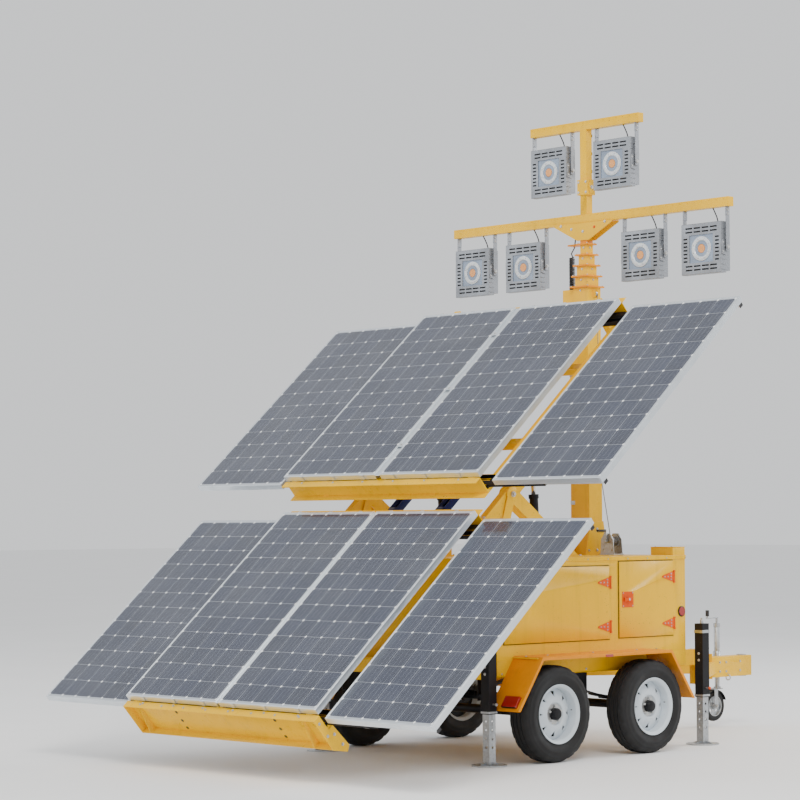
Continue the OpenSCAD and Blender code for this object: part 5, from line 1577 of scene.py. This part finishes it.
@dataclass
class JockeyWheel:
    """Drawbar jack: leg, castor fork with its guard, wheel and crank."""

    x: float = -118.0
    y: float = 3700.0
    trail: float = 55.0
    axle_z: float = 170.0

    def make(self) -> None:
        """Dress the four parts, and add the guard, its nuts and the leg's clamp with its handle."""
        Skin("jockey_leg", Coat.ZINC, edge=0.8).make()
        Skin("jockey_fork", Coat.ZINC, edge=1.0).make()
        wheel_y = self.y - self.trail
        outer = radius_test("x", wheel_y, self.axle_z, 83.0)
        Skin("jockey_wheel", Coat.RUBBER, [(Coat.ZINC, outer)], edge=0.8).make()
        Skin("jockey_crank", Coat.ZINC, [
            (Coat.PLASTIC, lambda c, n: c.z > 907 and c.y < self.y - 100)], edge=1.0).make()
        guard = Draft("jockey_guard")
        arc = [(wheel_y + r * math.cos(a), self.axle_z + r * math.sin(a))
               for r, way in ((135.0, 1), (132.0, -1))
               for a in (math.radians(20 + 140 * k / 16) for k in range(17)[::way])]
        guard.prism(arc, "x", self.x - 34, self.x + 34, Coat.BLACK, 0.5)
        for side in (-1, 1):
            guard.bolt((self.x + side * 41.9, wheel_y, self.axle_z), (side, 0, 0), 20)
        guard.done("jockey_fork")
        clamp = Draft("jockey_clamp")
        clamp.spin([(32.2, 0), (38, 0), (38, 26), (32.2, 26)], (self.x, self.y, 500), UP,
                   Coat.BLACK, 36, 1.0)
        clamp.block((self.x - 70, self.y - 7, 504), (self.x - 36, self.y + 7, 522), Coat.BLACK, 1)
        clamp.bolt((self.x - 60, self.y - 7, 513), REAR, 14)
        clamp.tube([(self.x - 60, self.y + 7, 513), (self.x - 60, self.y + 30, 513),
                    (self.x - 60, self.y + 34, 560)], 4.5, Coat.BOLT, 10)
        clamp.done("root")


# ------------------------------------------------------------------ studio
@dataclass
class Studio:
    """Pale floor, soft lights and the camera."""

    eye: Point = (13.0737, -13.5341, 1.705)
    yaw: float = 0.81062
    pitch: float = 0.02729
    roll: float = -0.00568
    lens: float = 112.28
    shift_y: float = 0.0669

    def floor(self) -> None:
        """Lay the floor."""
        bpy.ops.mesh.primitive_plane_add(size=240, location=(0, 0, 0))
        floor = bpy.context.object
        floor.name = "studio_floor"
        floor.data.materials.append(Coat.FLOOR.value.material())

    def light(self, name: str, at: Point, size: float, power: float, colour: Colour) -> None:
        """Hang one soft light that looks at the trailer's middle.

        Args:
            name: its name.
            at: where it hangs.
            size: its width in metres.
            power: its power in watts.
            colour: its colour.
        """
        lamp = bpy.data.lights.new(name, "AREA")
        lamp.shape, lamp.size, lamp.energy, lamp.color = "SQUARE", size, power, colour
        thing = bpy.data.objects.new(name, lamp)
        thing.location = at
        aim = Vector((0, 0, 1.8)) - Vector(at)
        thing.rotation_euler = aim.to_track_quat("-Z", "Y").to_euler()
        bpy.context.scene.collection.objects.link(thing)

    def make(self) -> None:
        """Set up the floor, the sky, the lights and the camera."""
        self.floor()
        sky = bpy.data.worlds.new("studio_sky")
        sky.use_nodes = True
        back = next(n for n in sky.node_tree.nodes if n.type == "BACKGROUND")
        back.inputs["Color"].default_value = (0.95, 0.965, 0.98, 1)
        back.inputs["Strength"].default_value = 1.0
        bpy.context.scene.world = sky
        self.light("key_light", (9, -7, 12), 6, 1500, (1.0, 0.97, 0.92))
        self.light("fill_light", (-10, -10, 7), 9, 500, (0.92, 0.96, 1.0))
        self.light("rim_light", (4, 12, 9), 7, 1000, (1.0, 1.0, 1.0))
        self.camera()

    def camera(self) -> None:
        """Stand the camera at its place."""
        ahead = Vector((-math.sin(self.yaw) * math.cos(self.pitch),
                        math.cos(self.yaw) * math.cos(self.pitch), math.sin(self.pitch)))
        right = ahead.cross(Vector(UP)).normalized()
        up = right.cross(ahead)
        c, s = math.cos(self.roll), math.sin(self.roll)
        right, up = c * right + s * up, -s * right + c * up
        turn = Matrix((right, up, -ahead)).transposed().to_4x4()
        data = bpy.data.cameras.new("camera")
        data.lens, data.sensor_width, data.shift_y = self.lens, 36.0, self.shift_y
        data.clip_end = 400
        camera = bpy.data.objects.new("camera", data)
        camera.matrix_world = Matrix.Translation(self.eye) @ turn
        bpy.context.scene.collection.objects.link(camera)
        bpy.context.scene.camera = camera


def main() -> None:
    """Build the trailer's looks in order."""
    logging.basicConfig(level=logging.INFO, format="%(name)s: %(message)s")
    Studio().make()
    SolarArray("upper", UPPER, 1107.0, 50.0).make()
    SolarArray("lower", LOWER, 1038.0, 20.0).make()
    ArrayMetalwork().make()
    head = MastHead()
    places = [(x, head.low_bar - head.drop) for x in head.low_lights]
    places += [(x, head.high_bar - head.drop) for x in head.high_lights]
    for number, (x, z) in enumerate(places, 1):
        Floodlight(number, x, z).make()
    head.make()
    for assembly in (Mast, ArraySupports, Cabinet, Chassis, Wheels, Jacks, JockeyWheel):
        assembly().make()


if __name__ == "__main__":
    main()
